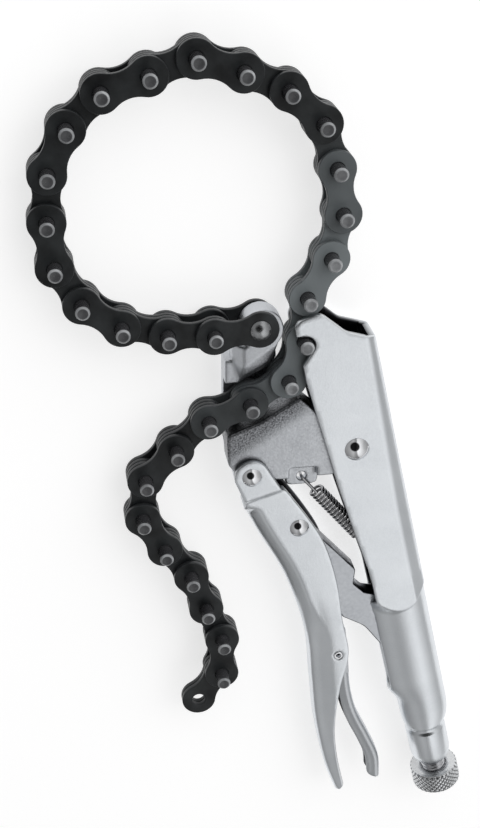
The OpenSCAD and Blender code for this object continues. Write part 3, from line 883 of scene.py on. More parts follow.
class Finishes:
    """The tool's finishes, each built once."""

    def __init__(self) -> None:
        """Builds the shared groups and then every material."""
        groups = grain_group(), wear_and_shade_group()
        satin = Metal("satin_nickel", (0.80, 0.83, 0.86), (0.71, 0.74, 0.77), (0.28, 0.33), wear=0.5)
        self.satin = replace(satin, mottle=1600.0, relief=0.1).make(groups)
        # The toggle link's steel, whose edge walls are painted near black as shade.
        punched_shaded = Metal("punched_steel", (0.56, 0.58, 0.61), (0.48, 0.5, 0.53), (0.28, 0.38), wear=1.0)
        self.punched_shaded = replace(punched_shaded, edge=(0.05, 0.05, 0.06)).make(groups)
        forged = Metal("grained_forging", (0.66, 0.68, 0.71), (0.55, 0.57, 0.6), (0.32, 0.46), 45.0, 1500.0)
        # The jaw's band: pits with their own relief, darkened with painted shadow of the chain; its throat
        # carries painted shade in the same dark colour.
        pits_and_painted_shade = {"edge": (0.065, 0.065, 0.072), "wear_scale": 1600.0, "wear_relief": 0.6}
        self.forged = replace(forged, relief=0.12, wear=0.95, **pits_and_painted_shade).make(groups)
        polished = Metal("polished_steel", (0.84, 0.85, 0.87), (0.76, 0.77, 0.79), (0.04, 0.08), relief=0.01)
        self.polished = polished.make(groups)
        gunmetal = Metal("gunmetal", (0.46, 0.47, 0.48), (0.38, 0.39, 0.4), (0.24, 0.32), relief=0.02)
        self.gunmetal = gunmetal.make(groups)
        self.wire = Metal("spring_wire", (0.5, 0.5, 0.51), (0.34, 0.34, 0.35), (0.18, 0.28)).make(groups)
        self.thread = Metal("plated_thread", (0.62, 0.63, 0.65), (0.5, 0.5, 0.52), (0.22, 0.32)).make(groups)
        knurl = Metal("bright_knurl", (0.7, 0.71, 0.72), (0.6, 0.61, 0.62), (0.2, 0.3), wear=0.95)
        self.knurl = knurl.make(groups)
        black = (0.007, 0.0077, 0.0084), (0.2, 0.222, 0.231), (0.05, 0.053, 0.057)
        self.oxide = Oxide("black_oxide", *black, (0.3, 0.45)).make(groups)
        steel = (0.012, 0.012, 0.014), (0.21, 0.21, 0.22), (0.5, 0.515, 0.53)
        self.pin = Oxide("worn_pin", *steel, (0.18, 0.3), 0.95).make(groups)


@dataclass
class Piece(ABC):
    """A piece or a family of pieces.

    Attributes:
        shop: Where it is made.
        finishes: The finishes that it can have.
    """

    shop: Workshop
    finishes: Finishes

    @property
    def place(self) -> Placing:
        """The places of the tool's pivots and pins."""
        return self.shop.placing

    @abstractmethod
    def build(self) -> None:
        """Makes the piece."""


# Chain


@dataclass
class Chain(Piece):
    """The leaf chain: plates two by two on long pins.

    Attributes:
        plate_end: Diameter of a plate's round ends.
        waist: Width of a plate at its middle.
        plate: Thickness of a plate.
        play: Play between neighbouring plates.
        pin: Diameter of a pin.
        reach: Length of a pin beyond the outer plates.
        edge: Radius of a plate's edges.
        pin_chamfer: Chamfer of a pin's ends.
        pin_tone: Lightness of the pins.
        hole_play: Play of a pin in a plate.
        painted_light_from: Links over which painted light comes onto the chain, for the links that lean into
            the light.
        painted_light_to: Links over which the painted light fades and the chain turns dark again.
    """

    plate_end: float = 13.0
    waist: float = 9.0
    plate: float = 2.0
    play: float = 0.3
    pin: float = 5.0
    reach: float = 6.5
    edge: float = 0.28
    pin_chamfer: float = 0.6
    pin_tone: float = 0.1
    hole_play: float = 0.06
    painted_light_from: Pair = (13.0, 17.0)
    painted_light_to: Pair = (18.0, 22.0)

    def __post_init__(self) -> None:
        """Works out the pitch, and the height of an inner and an outer plate's top."""
        pins = self.place.pins
        self.pitch = float(np.linalg.norm(pins[1] - pins[0]))
        self.inner = self.play / 2.0 + self.plate
        self.outer = self.inner + self.play + self.plate

    def build(self) -> None:
        """Makes the anchor link, and then each outer link, its pins and the inner link after it."""
        anchor = self.outer + self.play + self.plate
        self._plates("anchor_pair", 0, anchor, "anchor_link", "anchor_link")
        for link in range(1, len(self.place.pins) - 1):
            number = (link + 1) // 2
            side, top = ("outer", self.outer) if link % 2 else ("inner", self.inner)
            body, node = f"link_{link:02d}", f"{side}_plates_{number:02d}"
            self._plates(f"{side}_pair_{number:02d}", link, top, body, node)
            if link % 2:
                self._pins(number, link)

    def _painted_light(self, link: int) -> float:
        """Gives a link's painted light: the links near the hook lean into the light, so they are painted
        lighter.
        """
        return float(ease(link, *self.painted_light_from) * (1.0 - ease(link, *self.painted_light_to)))

    def _outline(self) -> Array:
        """Draws a plate: two round ends, and a waist of arcs that touch both ends."""
        radius = self.plate_end / 2.0
        hollow = (self.pitch**2 + self.waist**2 - self.plate_end**2) / 4.0 / (self.plate_end - self.waist)
        rise = self.waist / 2.0 + hollow
        lean = float(np.degrees(np.arctan2(rise, self.pitch / 2.0)))
        sides = [
            arc((self.pitch, 0.0), radius, lean - 180.0, 180.0 - lean, 26),
            arc((self.pitch / 2.0, rise), hollow, -lean, lean - 180.0, 8),
            arc((0.0, 0.0), radius, lean, 360.0 - lean, 26),
            arc((self.pitch / 2.0, -rise), hollow, 180.0 - lean, lean, 8),
        ]
        return distinct(np.concatenate(sides))

    def _plates(self, name: str, link: int, top: float, body: str, node: str) -> None:
        """Makes a link's two plates, alike above and below the middle plane.

        Args:
            name: Name of the piece.
            link: Number of the link.
            top: Height of the upper plate's top.
            body: Body that the plates ride on.
            node: Node that they stand for.
        """
        pins = self.place.pins
        holes = [bore((x, 0.0), self.pin / 2.0 + self.hole_play, 24) for x in (0.0, self.pitch)]
        loops = [self._outline()] + holes
        both = [Sheet(loops, level(z), self.plate, self.edge).build() for z in (top, self.plate - top)]
        turn = spun(unit(pins[link + 1] - pins[link]))
        pair = Surface.joined(both).turned(turn, np.append(pins[link], 0.0))
        # Painted light: the links near the hook are lightened as if they leaned into the light.
        pair.tone += self._painted_light(link)
        self.shop.add(name, pair, self.finishes.oxide, body, Slot.CHAIN, node)

    def _pins(self, number: int, link: int) -> None:
        """Makes a link's two pins: a shank whose ends have a worn chamfer and a shallow dish.

        Args:
            number: Number of the pair.
            link: Number of the link that carries it.
        """
        radius, half, cut = self.pin / 2.0, self.outer + self.reach, self.pin_chamfer
        dish, ring, slope, soft = 0.12, 0.25, 0.35, 0.05
        end = np.array(
            [
                [0.0, half - dish],
                [radius - cut - ring - slope, half - dish],
                [radius - cut - ring, half],
                [radius - cut - soft, half],
                [radius - cut + soft, half - soft],
                [radius - soft, half - cut + soft],
                [radius, half - cut - soft],
                [radius, half - 2.0 * cut],
            ]
        )
        dark = np.array([0.1, 0.1, 0.12, 0.5, 1.0, 0.9, 0.1, 0.0])
        bare = np.array([0.6, 0.6, 0.75, 1.0, 1.0, 1.0, 0.2, 0.0])
        # The pin ends' worn rings are brighter on the links that carry painted light.
        worn = dark + (bare - dark) * self._painted_light(link)
        shank = lathe(mirrored(end), 40, worn=np.concatenate([worn, worn[::-1]]))
        pair = Surface.joined([shank.moved(p) for p in self.place.pins[link : link + 2]])
        pair.tone += self.pin_tone
        name, node = f"pin_pair_{number:02d}", f"chain_pins_{number:02d}"
        self.shop.add(name, pair, self.finishes.pin, f"link_{link:02d}", Slot.PIN, node)


# Rivets


@dataclass(frozen=True)
class Rivet:
    """A rivet with a domed head at each end.

    Attributes:
        name: Name of the piece.
        hinge: Joint on whose axis it lies.
        shank: Diameter of its shank.
        head: Diameter of its heads.
        half: Half of the thickness that it holds.
        body: Body that it rides on.
        node: Node that it stands for.
        slot: Material slot that it takes its finish from.
    """

    name: str
    hinge: str
    shank: float
    head: float
    half: float
    body: str
    node: str
    slot: Slot = Slot.BRIGHT


@dataclass
class Rivets(Piece):
    """Domed rivets and the hollow pin of the release lever.

    Attributes:
        rise: Height of a dome as a share of its diameter.
        seat_gap: Gap under a head.
        lip: Height of a head's upright edge.
        rivets: The rivets.
    """

    rise: float = 0.24
    seat_gap: float = 0.02
    lip: float = 0.06
    rivets: tuple[Rivet, ...] = (
        Rivet("main_dome", "jaw_swing", 6.0, 9.0, 8.2, "fixed_handle", "main_rivet"),
        Rivet("lever_dome", "lever_swing", 5.0, 7.2, 7.9, "lever", "lever_rivet"),
        Rivet("toggle_dome", "link_swing", 5.0, 7.2, 6.1, "lever", "toggle_rivet"),
        Rivet("anchor_dome", "chain_hinge_00", 5.0, 7.2, 6.9, "jaw", "anchor_rivet", Slot.CHAIN),
    )

    def build(self) -> None:
        """Makes each rivet on the body that holds it."""
        pivots = self.place.pivots
        for rivet in self.rivets:
            surface = self._turned(rivet).moved(pivots[rivet.hinge])
            finish = self.finishes.polished if rivet.slot is Slot.BRIGHT else self.finishes.gunmetal
            self.shop.add(rivet.name, surface, finish, rivet.body, rivet.slot, rivet.node)
        self._hollow_pin(pivots["release_swing"])

    def _turned(self, rivet: Rivet) -> Surface:
        """Makes a rivet: a shank with a cap of a sphere at each end."""
        seat, rise, radius = rivet.half + self.seat_gap, self.rise * rivet.head, rivet.head / 2.0
        ball = (rise**2 + radius**2) / (2.0 * rise)
        angle = np.linspace(0.0, np.arcsin(radius / ball), 14)
        dome = columns(ball * np.sin(angle), seat + rise - ball + ball * np.cos(angle))
        foot = np.array([[radius, seat], [rivet.shank / 2.0, seat]])
        edge = dome[-1] + np.array([[-self.lip / 2.0, 2.0 * self.lip], [0.0, self.lip]])
        return lathe(mirrored(np.concatenate([dome[:-1], edge, foot])), 56)

    def _hollow_pin(self, place: Array) -> None:
        """Makes the release lever's hollow pin, a tube with a rolled rim."""
        outer, inner, half, rim = 1.8, 0.8, 6.1, 0.3
        end = [[outer, half - rim], [outer - rim / 3.0, half - rim / 3.0], [outer - rim, half]]
        hole = [[inner + rim, half], [inner + rim / 3.0, half - rim / 3.0], [inner, half - rim]]
        surface = lathe(mirrored(np.array(end + hole)), 32, torus=True).moved(place)
        self.shop.add("release_tube", surface, self.finishes.polished, "lever", Slot.BRIGHT, "release_pin")


# Fixed handle


@dataclass
class FixedHandle(Piece):
    """The folded channel with its hook, its slotted grip and its threaded barrel.

    The skin's first parameter runs down the spine, and its second across the sheet, from the middle of the
    spine round the fold and over a cheek. The near cheek lies on its negative side, so that the skin's
    normals point outwards.

    Attributes:
        half: Half of the width across the cheeks.
        sheet: Thickness of the sheet.
        spine: Distance from the main pivot to the spine's back.
        fold_r: Outer radius of the folds at the spine's back.
        facet: Angles from the back between which a fold runs on as a facet.
        facet_at: Two places along the spine.
        facet_w: Width of the facets at those places.
        notch: Radius of the hook's notch.
        notch_turn: Angles between which the notch is round.
        notch_mouth: Depth of the notch below the cheek's edge.
        grip_from: Where the cheeks' flat ends in a tongue above the grip.
        tongue: Length of the tongue's rounding.
        blend: Lengths from the tongue's end over which the channel turns into the grip.
        fine: Lengths from there between which the skin's points lie closer.
        ridge: Distance from the main pivot to the grip's highest line.
        grip_back: Width of the grip from that line to its back.
        grip_front: Width of the grip from that line to its front, along the slot and beyond it.
        grip_high: Height of the grip above the middle plane.
        run_back: Length of sheet over the grip's back quarter.
        run: Length of sheet from the grip's back to its seam.
        slot_w: Width of the slot.
        slot_to: End of the slot.
        closing: Lengths from the slot's end over which the grip's front draws in.
        shoulder: Where the grip starts to narrow.
        shoulder_turn: How much of a quarter round the shoulder is.
        neck_at: Where the neck's groove starts.
        neck: Radius of the groove.
        barrel_at: Where the barrel starts.
        barrel_to: End of the barrel.
        barrel: Radius of the barrel.
        bore: Radius of the screw's bore.
        pivot: Radius of the main rivet's holes.
        reach: Distance from the main pivot to the screw's axis.
        edge: Radius of the sheet's edges.
        cell: Distance between the skin's points.
    """

    half: float = 8.2
    sheet: float = 2.5
    spine: float = 15.0
    fold_r: float = 1.6
    facet: Pair = (52.0, 60.0)
    facet_at: Pair = (-40.0, 30.0)
    facet_w: Pair = (2.4, 4.4)
    notch: float = 3.2
    notch_turn: Pair = (170.0, 45.0)
    notch_mouth: float = 2.6
    grip_from: float = 75.0
    tongue: float = 4.5
    blend: Pair = (-0.6, 2.0)
    fine: Pair = (-14.0, 4.0)
    ridge: float = 6.2
    grip_back: float = 8.75
    grip_front: Pair = (14.9, 10.9)
    grip_high: float = 7.6
    run_back: float = 12.9
    run: float = 30.0
    slot_w: float = 7.6
    slot_to: float = 116.0
    closing: Pair = (-4.0, 8.0)
    shoulder: float = 126.4
    shoulder_turn: float = 0.97
    neck_at: float = 136.8
    neck: float = 7.5
    barrel_at: float = 139.0
    barrel_to: float = 157.0
    barrel: float = 8.2
    bore: float = 5.06
    pivot: float = 3.0
    reach: float = 4.2
    edge: float = 0.5
    cell: float = 1.1

    def __post_init__(self) -> None:
        """Sets the seam, a little beyond the slot, and the steps round it."""
        self.seam_at = self.slot_to + 2.0
        self.ring = np.linspace(-self.run, self.run, 97)

    def build(self) -> None:
        """Makes the handle's sheet, its closed end and the spring's lug as one piece."""
        surface = Surface.joined([self._channel(), self._closed_end(), self._lug()])
        finish = self.finishes.satin
        self.shop.add("handle_shell", surface, finish, "fixed_handle", Slot.HANDLE, "fixed_handle")

    def _fold(self, s: Array) -> Fold:
        """Gives the channel's fold: a small round, and a facet that grows wider down the spine."""
        turn, lean = np.radians(self.facet)
        wide = np.interp(s, self.facet_at, self.facet_w) / (np.cos(turn) - np.cos(lean))
        return Fold(self.half, self.fold_r, turn, wide, lean)

    def _channel_section(self, s: Array, q: Array) -> Array:
        """Gives the folded channel: half a flat spine, a fold and a flat cheek."""
        d, z = self._fold(s).at(np.abs(q))
        return columns(self.spine - d, -np.sign(q) * z)

    def _turn(self, q: Array) -> Array:
        """Gives the angle round the grip at a length of sheet from its back."""
        return np.interp(np.abs(q), [0.0, self.run_back, self.run], [0.0, np.pi / 2.0, np.pi])

    def _grip_section(self, s: Array, q: Array) -> Array:
        """Gives the grip: a quarter of an ellipse at its back and a longer one that slopes to the slot."""
        angle = self._turn(q)
        slotted, closed = self.grip_front
        front = slotted + (closed - slotted) * ease(s - self.slot_to, *self.closing)
        wide = np.where(angle < np.pi / 2.0, self.grip_back, front)
        y = self.ridge + wide * np.cos(angle)
        return columns(y, -np.sign(q) * self.grip_high * np.sin(angle))

    def _skin(self, flat: Array) -> Array:
        """Carries the sheet to space: the channel, whose flat ends in a round tongue above the grip."""
        s, q = flat[:, 0], flat[:, 1]
        channel = self._channel_section(s, q)
        end = self.grip_from - self.tongue * ((channel[:, 0] - self.reach) / self.half) ** 2
        share = ease(s - end, *self.blend)[:, None]
        section = (1.0 - share) * channel + share * self._grip_section(s, q)
        return self.place.from_handle(columns(s, *section.T))

    def _across(self, s: Array, y: Array) -> Array:
        """Gives the length of sheet at which a cheek reaches a distance from the pivot's line."""
        fold = self._fold(s)
        return fold.length + self.spine - fold.depth - y

    def _side(self) -> Array:
        """Draws one side's edge, from the spine's top over the hook and along the cheek to the slot's end."""
        hook = self.place.to_handle(self.place.pins[HOOKED_PIN])
        x, y = hook
        lip = y - self.notch_mouth
        walls = hook + self.notch * heading(np.array(self.notch_turn))
        corners = [
            (x + 4.0, self.spine, 0.0),
            (x - 0.6, y + 14.8, 7.0),
            (x - 10.4, y + 7.2, 4.6),
            (x - 9.6, y - 2.0, 4.0),
            (x - 4.0, lip, 0.6),
            (*walls[0], 0.0),
            (*walls[1], 0.0),
            (x + 7.4, lip, 1.8),
            (x + 12.6, -12.4, 6.0),
            (18.0, -9.2, 40.0),
            (self.grip_from - 20.0, -5.2, 30.0),
            (self.grip_from - 1.0, -5.2, 0.0),
            (self.grip_from - 1.0, self.spine, 0.0),
        ]
        edge = rounded(corners)
        mouth = [int(np.argmin(np.linalg.norm(edge - wall, axis=1))) for wall in walls]
        seat = arc(hook, self.notch, *self.notch_turn, 18)
        edge = np.concatenate([edge[1 : mouth[0]], seat, edge[mouth[1] + 1 : -1]])
        cheek = columns(edge[:, 0], self._across(edge[:, 0], edge[:, 1]))
        fold = self._fold(x)
        top = np.array([[x + 4.0, float(fold.rest)], [x + 3.0, float(fold.length)]])
        return np.concatenate([top, cheek, self._slot_edge()])

    def _slot_edge(self) -> Array:
        """Draws the slot's edge along the grip, with a round end on the seam."""
        lip_angle = np.pi - np.arcsin(self.slot_w / 2.0 / self.grip_high)
        lip = np.interp(lip_angle, [np.pi / 2.0, np.pi], [self.run_back, self.run])
        angle = np.linspace(0.0, np.pi / 2.0, 9)
        along = self.slot_to - self.slot_w / 2.0 * (1.0 - np.sin(angle))
        across = self.run - (self.run - lip) * np.cos(angle)
        return np.concatenate([[[self.grip_from + 1.0, lip]], columns(along, across)])

    def _channel(self) -> Surface:
        """Makes the sheet from the hook to the slot's end."""
        side = self._side()
        seam = columns(self.seam_at, self.ring[::-1])
        outline = np.concatenate([side, seam, side[::-1] * [1.0, -1.0]])
        hole = bore((0.0, float(self._across(0.0, 0.0))), self.pivot, 24)
        loops = [spaced(distinct(outline), self.cell), hole, hole * [1.0, -1.0]]

        def sealed(middle: Array) -> Array:
            """Tells that the seam and the row where the closed end goes on have no edge."""
            return middle[:, 0] > self.slot_to + 1e-6

        fine = (self.grip_from + self.fine[0], self.grip_from + self.fine[1])
        # The last 1.0 paints the inner face dark, as shade inside the channel.
        return Sheet(loops, self._skin, self.sheet, self.edge, self.cell, sealed, fine, 1.0).build()

    def _closed_end(self) -> Surface:
        """Makes the closed grip, shoulder, groove and barrel, out along the skin and back along the bore."""
        q = self.ring[:-1]
        grip_s = np.arange(self.seam_at, self.shoulder, 1.4)
        neck_s = np.linspace(self.shoulder, self.neck_at, 18)
        down = (neck_s - self.shoulder) / (self.neck_at - self.shoulder) * self.shoulder_turn
        fall = 1.0 - np.sqrt(1.0 - down**2)
        first, last, full = self.barrel_at, self.barrel_to, self.barrel
        turned = np.array(
            [
                [self.neck_at + 0.3, self.neck],
                [first - 0.6, self.neck],
                [first - 0.1, self.neck + 0.2],
                [first + 0.3, full - 0.15],
                [first + 0.8, full],
                [first + 7.0, full],
                [last - 5.2, full],
                [last - 3.6, full - 0.25],
                [last - 2.2, full - 0.75],
                [last - 1.1, full - 1.4],
                [last - 0.35, full - 2.05],
                [last, full - 2.6],
                [last, self.bore + 0.5],
                [last - 0.5, self.bore],
                [self.shoulder, self.bore],
            ]
        )
        along = np.concatenate([grip_s, neck_s, turned[:, 0]])
        share = np.concatenate([np.zeros(len(grip_s)), fall, np.ones(len(turned))])[:, None, None]
        radius = np.concatenate([np.full(len(grip_s) + len(neck_s), self.neck + 0.3), turned[:, 1]])
        angle = -np.sign(q) * self._turn(q)
        circle = radius[:, None, None] * columns(np.cos(angle), np.sin(angle)) + [self.reach, 0.0]
        s, across = np.meshgrid(along, q, indexing="ij")
        section = (1.0 - share) * self._grip_section(s, across) + share * circle
        rows = self.place.from_handle(np.concatenate([s[..., None], section], axis=-1))
        seam, normals = lifted(self._skin, columns(self.seam_at, q))
        surface = Surface.grid(np.concatenate([rows, (seam - normals * self.sheet)[None]]))
        # Painted shade on the bore and on the seam's inner row.
        surface.tone[-2 * len(q) :] = 1.0
        return surface

    def _lug(self) -> Surface:
        """Makes the lug that is bent in from the spine to take the spring."""
        x, y = self.place.to_handle(np.array(SPRING_LUG))
        hole, wide, thick, edge, root = 1.7, 3.4, 3.0, 0.4, self.spine - 1.0
        end = [(x - wide, y - wide, 3.0), (x + wide, y - wide, 3.0)]
        corners = end + [(x + wide, root, 0.0), (x - wide, root, 0.0)]
        loops = [rounded(corners), bore((x, y), hole, 12)]
        flat = Sheet(loops, level(thick / 2.0), thick, edge).build()
        flat.points = self.place.from_handle(flat.points)
        return flat


# Lever


@dataclass
class Lever(Piece):
    """The moving lever: a pressed channel with two ears that step out over the jaw.

    The skin's first parameter runs down the lever's back, and its second across the sheet, from the middle
    of the back round the fold and over a side.

    Attributes:
        out: Half of the width across the sides.
        ear_out: Half of the width across the ears.
        sheet: Thickness of the sheet.
        ear: Diameter of the ears.
        joggle: Length of the step out to the ears.
        joggle_lean: Direction of the step's line, in degrees.
        edge: Radius of the sheet's edges.
        cell: Distance between the skin's points.
        bores: Radius of the hole on each joint's axis.
        valley: Depth of the long valley in the sides.
        tight: Radius of the fold's first arc at the ears, along the pad and where the hand holds it.
        turn: Angle at which that arc ends, at the same places.
        lean: Angle at which the fold meets the side, at the same places.
        wide: Radius of the fold's second arc.
        to_pad: Lengths between which the ears' fold turns into the pad's.
        to_hand: Lengths between which the pad's fold turns into the hand's.
        valley_from: Lengths over which the valley starts.
        valley_to: Lengths over which it ends.
        valley_at: Its distance in from the back, and its width.
        back: Places along the back.
        front: Places along the front edge.
    """

    out: float = 6.1
    ear_out: float = 7.9
    sheet: float = 2.2
    ear: float = 12.6
    joggle: float = 2.0
    joggle_lean: float = 17.0
    edge: float = 0.45
    cell: float = 1.0
    bores: tuple[tuple[str, float], ...] = (("lever_swing", 2.5), ("link_swing", 2.5), ("release_swing", 1.8))
    valley: float = 0.3
    tight: Triple = (0.8, 3.0, 2.2)
    turn: Triple = (90.0, 50.0, 64.0)
    lean: Triple = (90.0, 62.0, 84.0)
    wide: float = 22.0
    to_pad: Pair = (0.0, 6.0)
    to_hand: Pair = (50.0, 74.0)
    valley_from: Pair = (40.0, 66.0)
    valley_to: Pair = (108.0, 140.0)
    valley_at: Pair = (6.4, 2.6)
    back: tuple[Pair, ...] = (
        *((-41.5, -21.0), (-34.5, -35.5), (-24.0, -56.0), (-16.0, -82.0)),
        *((-13.6, -104.0), (-11.4, -125.0), (-7.0, -147.0), (-1.6, -163.0)),
    )
    front: tuple[Pair, ...] = (
        *((-25.0, -16.5), (-16.5, -29.0), (-10.0, -41.0), (-5.0, -58.0), (-2.2, -76.0)),
        *((0.8, -92.0), (-2.0, -108.0), (-3.6, -126.0), (-2.4, -143.0), (0.8, -160.0)),
    )

    def __post_init__(self) -> None:
        """Draws the line of the back and its directions, at even steps of its length."""
        line = through(np.array(self.back), 40)
        length = lengths(line)
        self.end = float(length[-1])
        self.steps = np.linspace(0.0, self.end, 400)
        self.line = along_line(self.steps, length, line)
        self.along = unit(np.gradient(self.line, axis=0))

    def build(self) -> None:
        """Makes the lever as one pressed sheet."""
        centres = [self._across(self._flat(self.place.pivots[name])) for name, _ in self.bores]
        holes = [bore(centre, radius, 18) for centre, (_, radius) in zip(centres, self.bores)]
        outline = spaced(distinct(self._outline()), self.cell)
        loops = [outline] + holes + [hole * [1.0, -1.0] for hole in holes]
        # The inner face is painted dark as shade inside the channel.
        surface = Sheet(loops, self._skin, self.sheet, self.edge, self.cell, inner_shade=1.0).build()
        self.shop.add("lever_shell", surface, self.finishes.satin, "lever", Slot.LEVER, "lever")

    def _fold(self, t: Array) -> Fold:
        """Gives the fold at a length along the back: tight at the ears, creased along the pad, then round."""
        down, on = ease(t, *self.to_pad), ease(t, *self.to_hand)
        stages = (self.tight, self.turn, self.lean)
        tight, turn, lean = (a + (b - a) * down + (c - b) * on for a, b, c in stages)
        return Fold(self.out, tight, np.radians(turn), self.wide, np.radians(lean))

    def _plan(self, t: Array, d: Array) -> Array:
        """Gives the plan place at a length along the back and a distance in from it."""
        on = np.clip(t, 0.0, self.end)
        base = along_line(on, self.steps, self.line)
        way = unit(along_line(on, self.steps, self.along))
        return base + (t - on)[..., None] * way + d[..., None] * left_of(way)

    def _flat(self, plan: Array) -> Array:
        """Finds the length along the back, and the distance in from it, of a plan place."""
        steps = np.linspace(-25.0, self.end + 10.0, 1600)
        base = self._plan(steps, np.zeros(len(steps)))
        way = unit(np.gradient(base, axis=0))
        points = np.atleast_2d(plan)
        near = np.argmin(np.linalg.norm(points[:, None] - base[None], axis=2), axis=1)
        found = columns(steps[near], np.sum((points - base[near]) * left_of(way[near]), axis=1))
        return found[0] if np.ndim(plan) == 1 else found

    def _across(self, flat: Array) -> Array:
        """Takes a distance in from the back to the skin's second parameter."""
        fold = self._fold(flat[..., 0])
        return columns(flat[..., 0], fold.length + flat[..., 1] - fold.depth)

    def _outline(self) -> Array:
        """Draws the sheet: an ear, the front edge and the tip, and the same on the other side."""
        ear = self._flat(self.place.pivots["lever_swing"])
        front = self._flat(through(np.array(self.front), 6))
        circle = ear + self.ear / 2.0 * heading(np.linspace(-100.0, -260.0, 22))
        tip = np.array([[self.end - 0.4, front[-1, 1] * 0.5]])
        foot = np.array([[2.2, 0.0], [0.4, 1.6]])
        side = self._across(np.concatenate([foot, circle, front, tip]))
        side[0, 1] = self._fold(foot[0, 0]).length * 0.8
        side[-1, 1] = np.maximum(side[-1, 1], 1.0)
        return mirrored(side)

    def _skin(self, flat: Array) -> Array:
        """Carries the sheet to space: a back, a fold and a side with its ears' step and its valley."""
        t = flat[:, 0]
        d, z = self._fold(t).at(np.abs(flat[:, 1]))
        plan = self._plan(t, d)
        beyond = (plan - np.array(self.back[0])) @ heading(self.joggle_lean + 90.0)
        step = (self.ear_out - self.out) * ease(beyond, 0.0, self.joggle)
        held = ease(t, *self.valley_from) * (1.0 - ease(t, *self.valley_to))
        middle, width = self.valley_at
        sunk = self.valley * held * np.exp(-(((d - middle) / width) ** 2))
        return columns(*plan.T, np.sign(flat[:, 1]) * (z + step - sunk))


# Release lever


@dataclass
class ReleaseLever(Piece):
    """The small pressed channel that pushes the toggle open.

    Attributes:
        half: Half of the width across the sides.
        sheet: Thickness of the sheet.
        depth: Depth of the channel.
        fold: Outer radius of its folds.
        slope: How steeply the sides fall towards the opening.
        set_back: How much shorter the near side is, so that the channel shows.
        edge: Radius of the sheet's edges.
        cell: Distance between the skin's points.
        dish: Depth of the dish in its sides.
        dish_from: Lengths over which the dish starts.
        painted_shade_share: How much duller it is than the handle.
        back: Places along the tail's back.
    """

    half: float = 3.6
    sheet: float = 1.4
    depth: float = 5.6
    fold: float = 1.8
    slope: float = 0.16
    set_back: float = 0.5
    edge: float = 0.35
    cell: float = 0.8
    dish: float = 0.15
    dish_from: Pair = (8.0, 26.0)
    # dull: Share of painted shade over the whole release lever, for its sides that turn away from the light.
    painted_shade_share: float = 0.28
    back: tuple[Pair, ...] = (
        *((1.6, -100.0), (3.0, -112.0), (6.0, -123.5), (11.5, -136.0), (15.8, -147.0), (16.8, -158.0)),
    )

    def build(self) -> None:
        """Makes the tail as a pressed channel, and the eye inside the lever as a plate."""
        surface = Surface.joined([self._tail(), self._eye()])
        # Painted shade over the whole release lever, full on its inner faces.
        surface.tone = np.maximum(surface.tone, self.painted_shade_share)
        finish, body = self.finishes.satin, "release_lever"
        self.shop.add("release_shell", surface, finish, body, Slot.LEVER, "release_lever")

    def _tail(self) -> Surface:
        """Makes the tail: a back on the outside, a fold and a dished side, above and below."""
        line = through(np.array(self.back), 30)
        length = lengths(line)
        end, step = float(length[-1]), 0.5
        fold = Fold(self.half, self.fold, np.pi / 2.0, self.fold, np.pi / 2.0)
        reach = fold.length + self.depth - self.fold

        def skin(flat: Array) -> Array:
            """Carries the tail's sheet to space."""
            t, q = np.clip(flat[:, 0], 0.0, end), np.abs(flat[:, 1])
            base, ahead, behind = (along_line(t + way * step, length, line) for way in (0.0, 1.0, -1.0))
            inward = -left_of(unit(ahead - behind))
            d, z = fold.at(q)
            slope = self.slope * np.maximum(q - fold.length, 0.0)
            bowl = np.sin(np.pi * np.clip(d / self.depth, 0.0, 1.0)) ** 2
            dish = self.dish * bowl * ease(t, *self.dish_from)
            plan = base + d[:, None] * inward
            return columns(*plan.T, -np.sign(flat[:, 1]) * (z - dish - slope))

        near = reach - self.set_back
        near_side = [(0.0, -near, 0.5), (end - 20.0, -near, 16.0), (end - 10.0, -reach, 8.0)]
        tip = [(end, -reach, 4.5), (end, reach, 4.5)]
        outline = rounded(near_side + tip + [(0.0, reach, 0.5)])
        loops = [spaced(outline, self.cell)]
        # The inner face is painted dark as shade inside the channel.
        return Sheet(loops, skin, self.sheet, self.edge, self.cell, inner_shade=1.0).build()

    def _eye(self) -> Surface:
        """Makes the plate that turns on the hollow pin and reaches to the toggle link."""
        x, y = self.place.pivots["release_swing"]
        eye = 4.5
        corners = [
            (x - eye, y - 1.0, 2.0),
            (x - eye + 1.0, y - 9.5, 1.0),
            (self.back[0][0] + 0.2, self.back[0][1] - 3.5, 0.5),
            (x + eye, y - 2.0, 2.0),
            (x + 3.0, y + eye + 6.5, 1.0),
            (x - 0.4, y + eye + 6.5, 1.0),
        ]
        hole = bore((x, y), 1.86, 18)
        return Sheet([rounded(corners), hole], level(self.half), 2.0 * self.half, 0.4).build()


# Jaw and toggle link


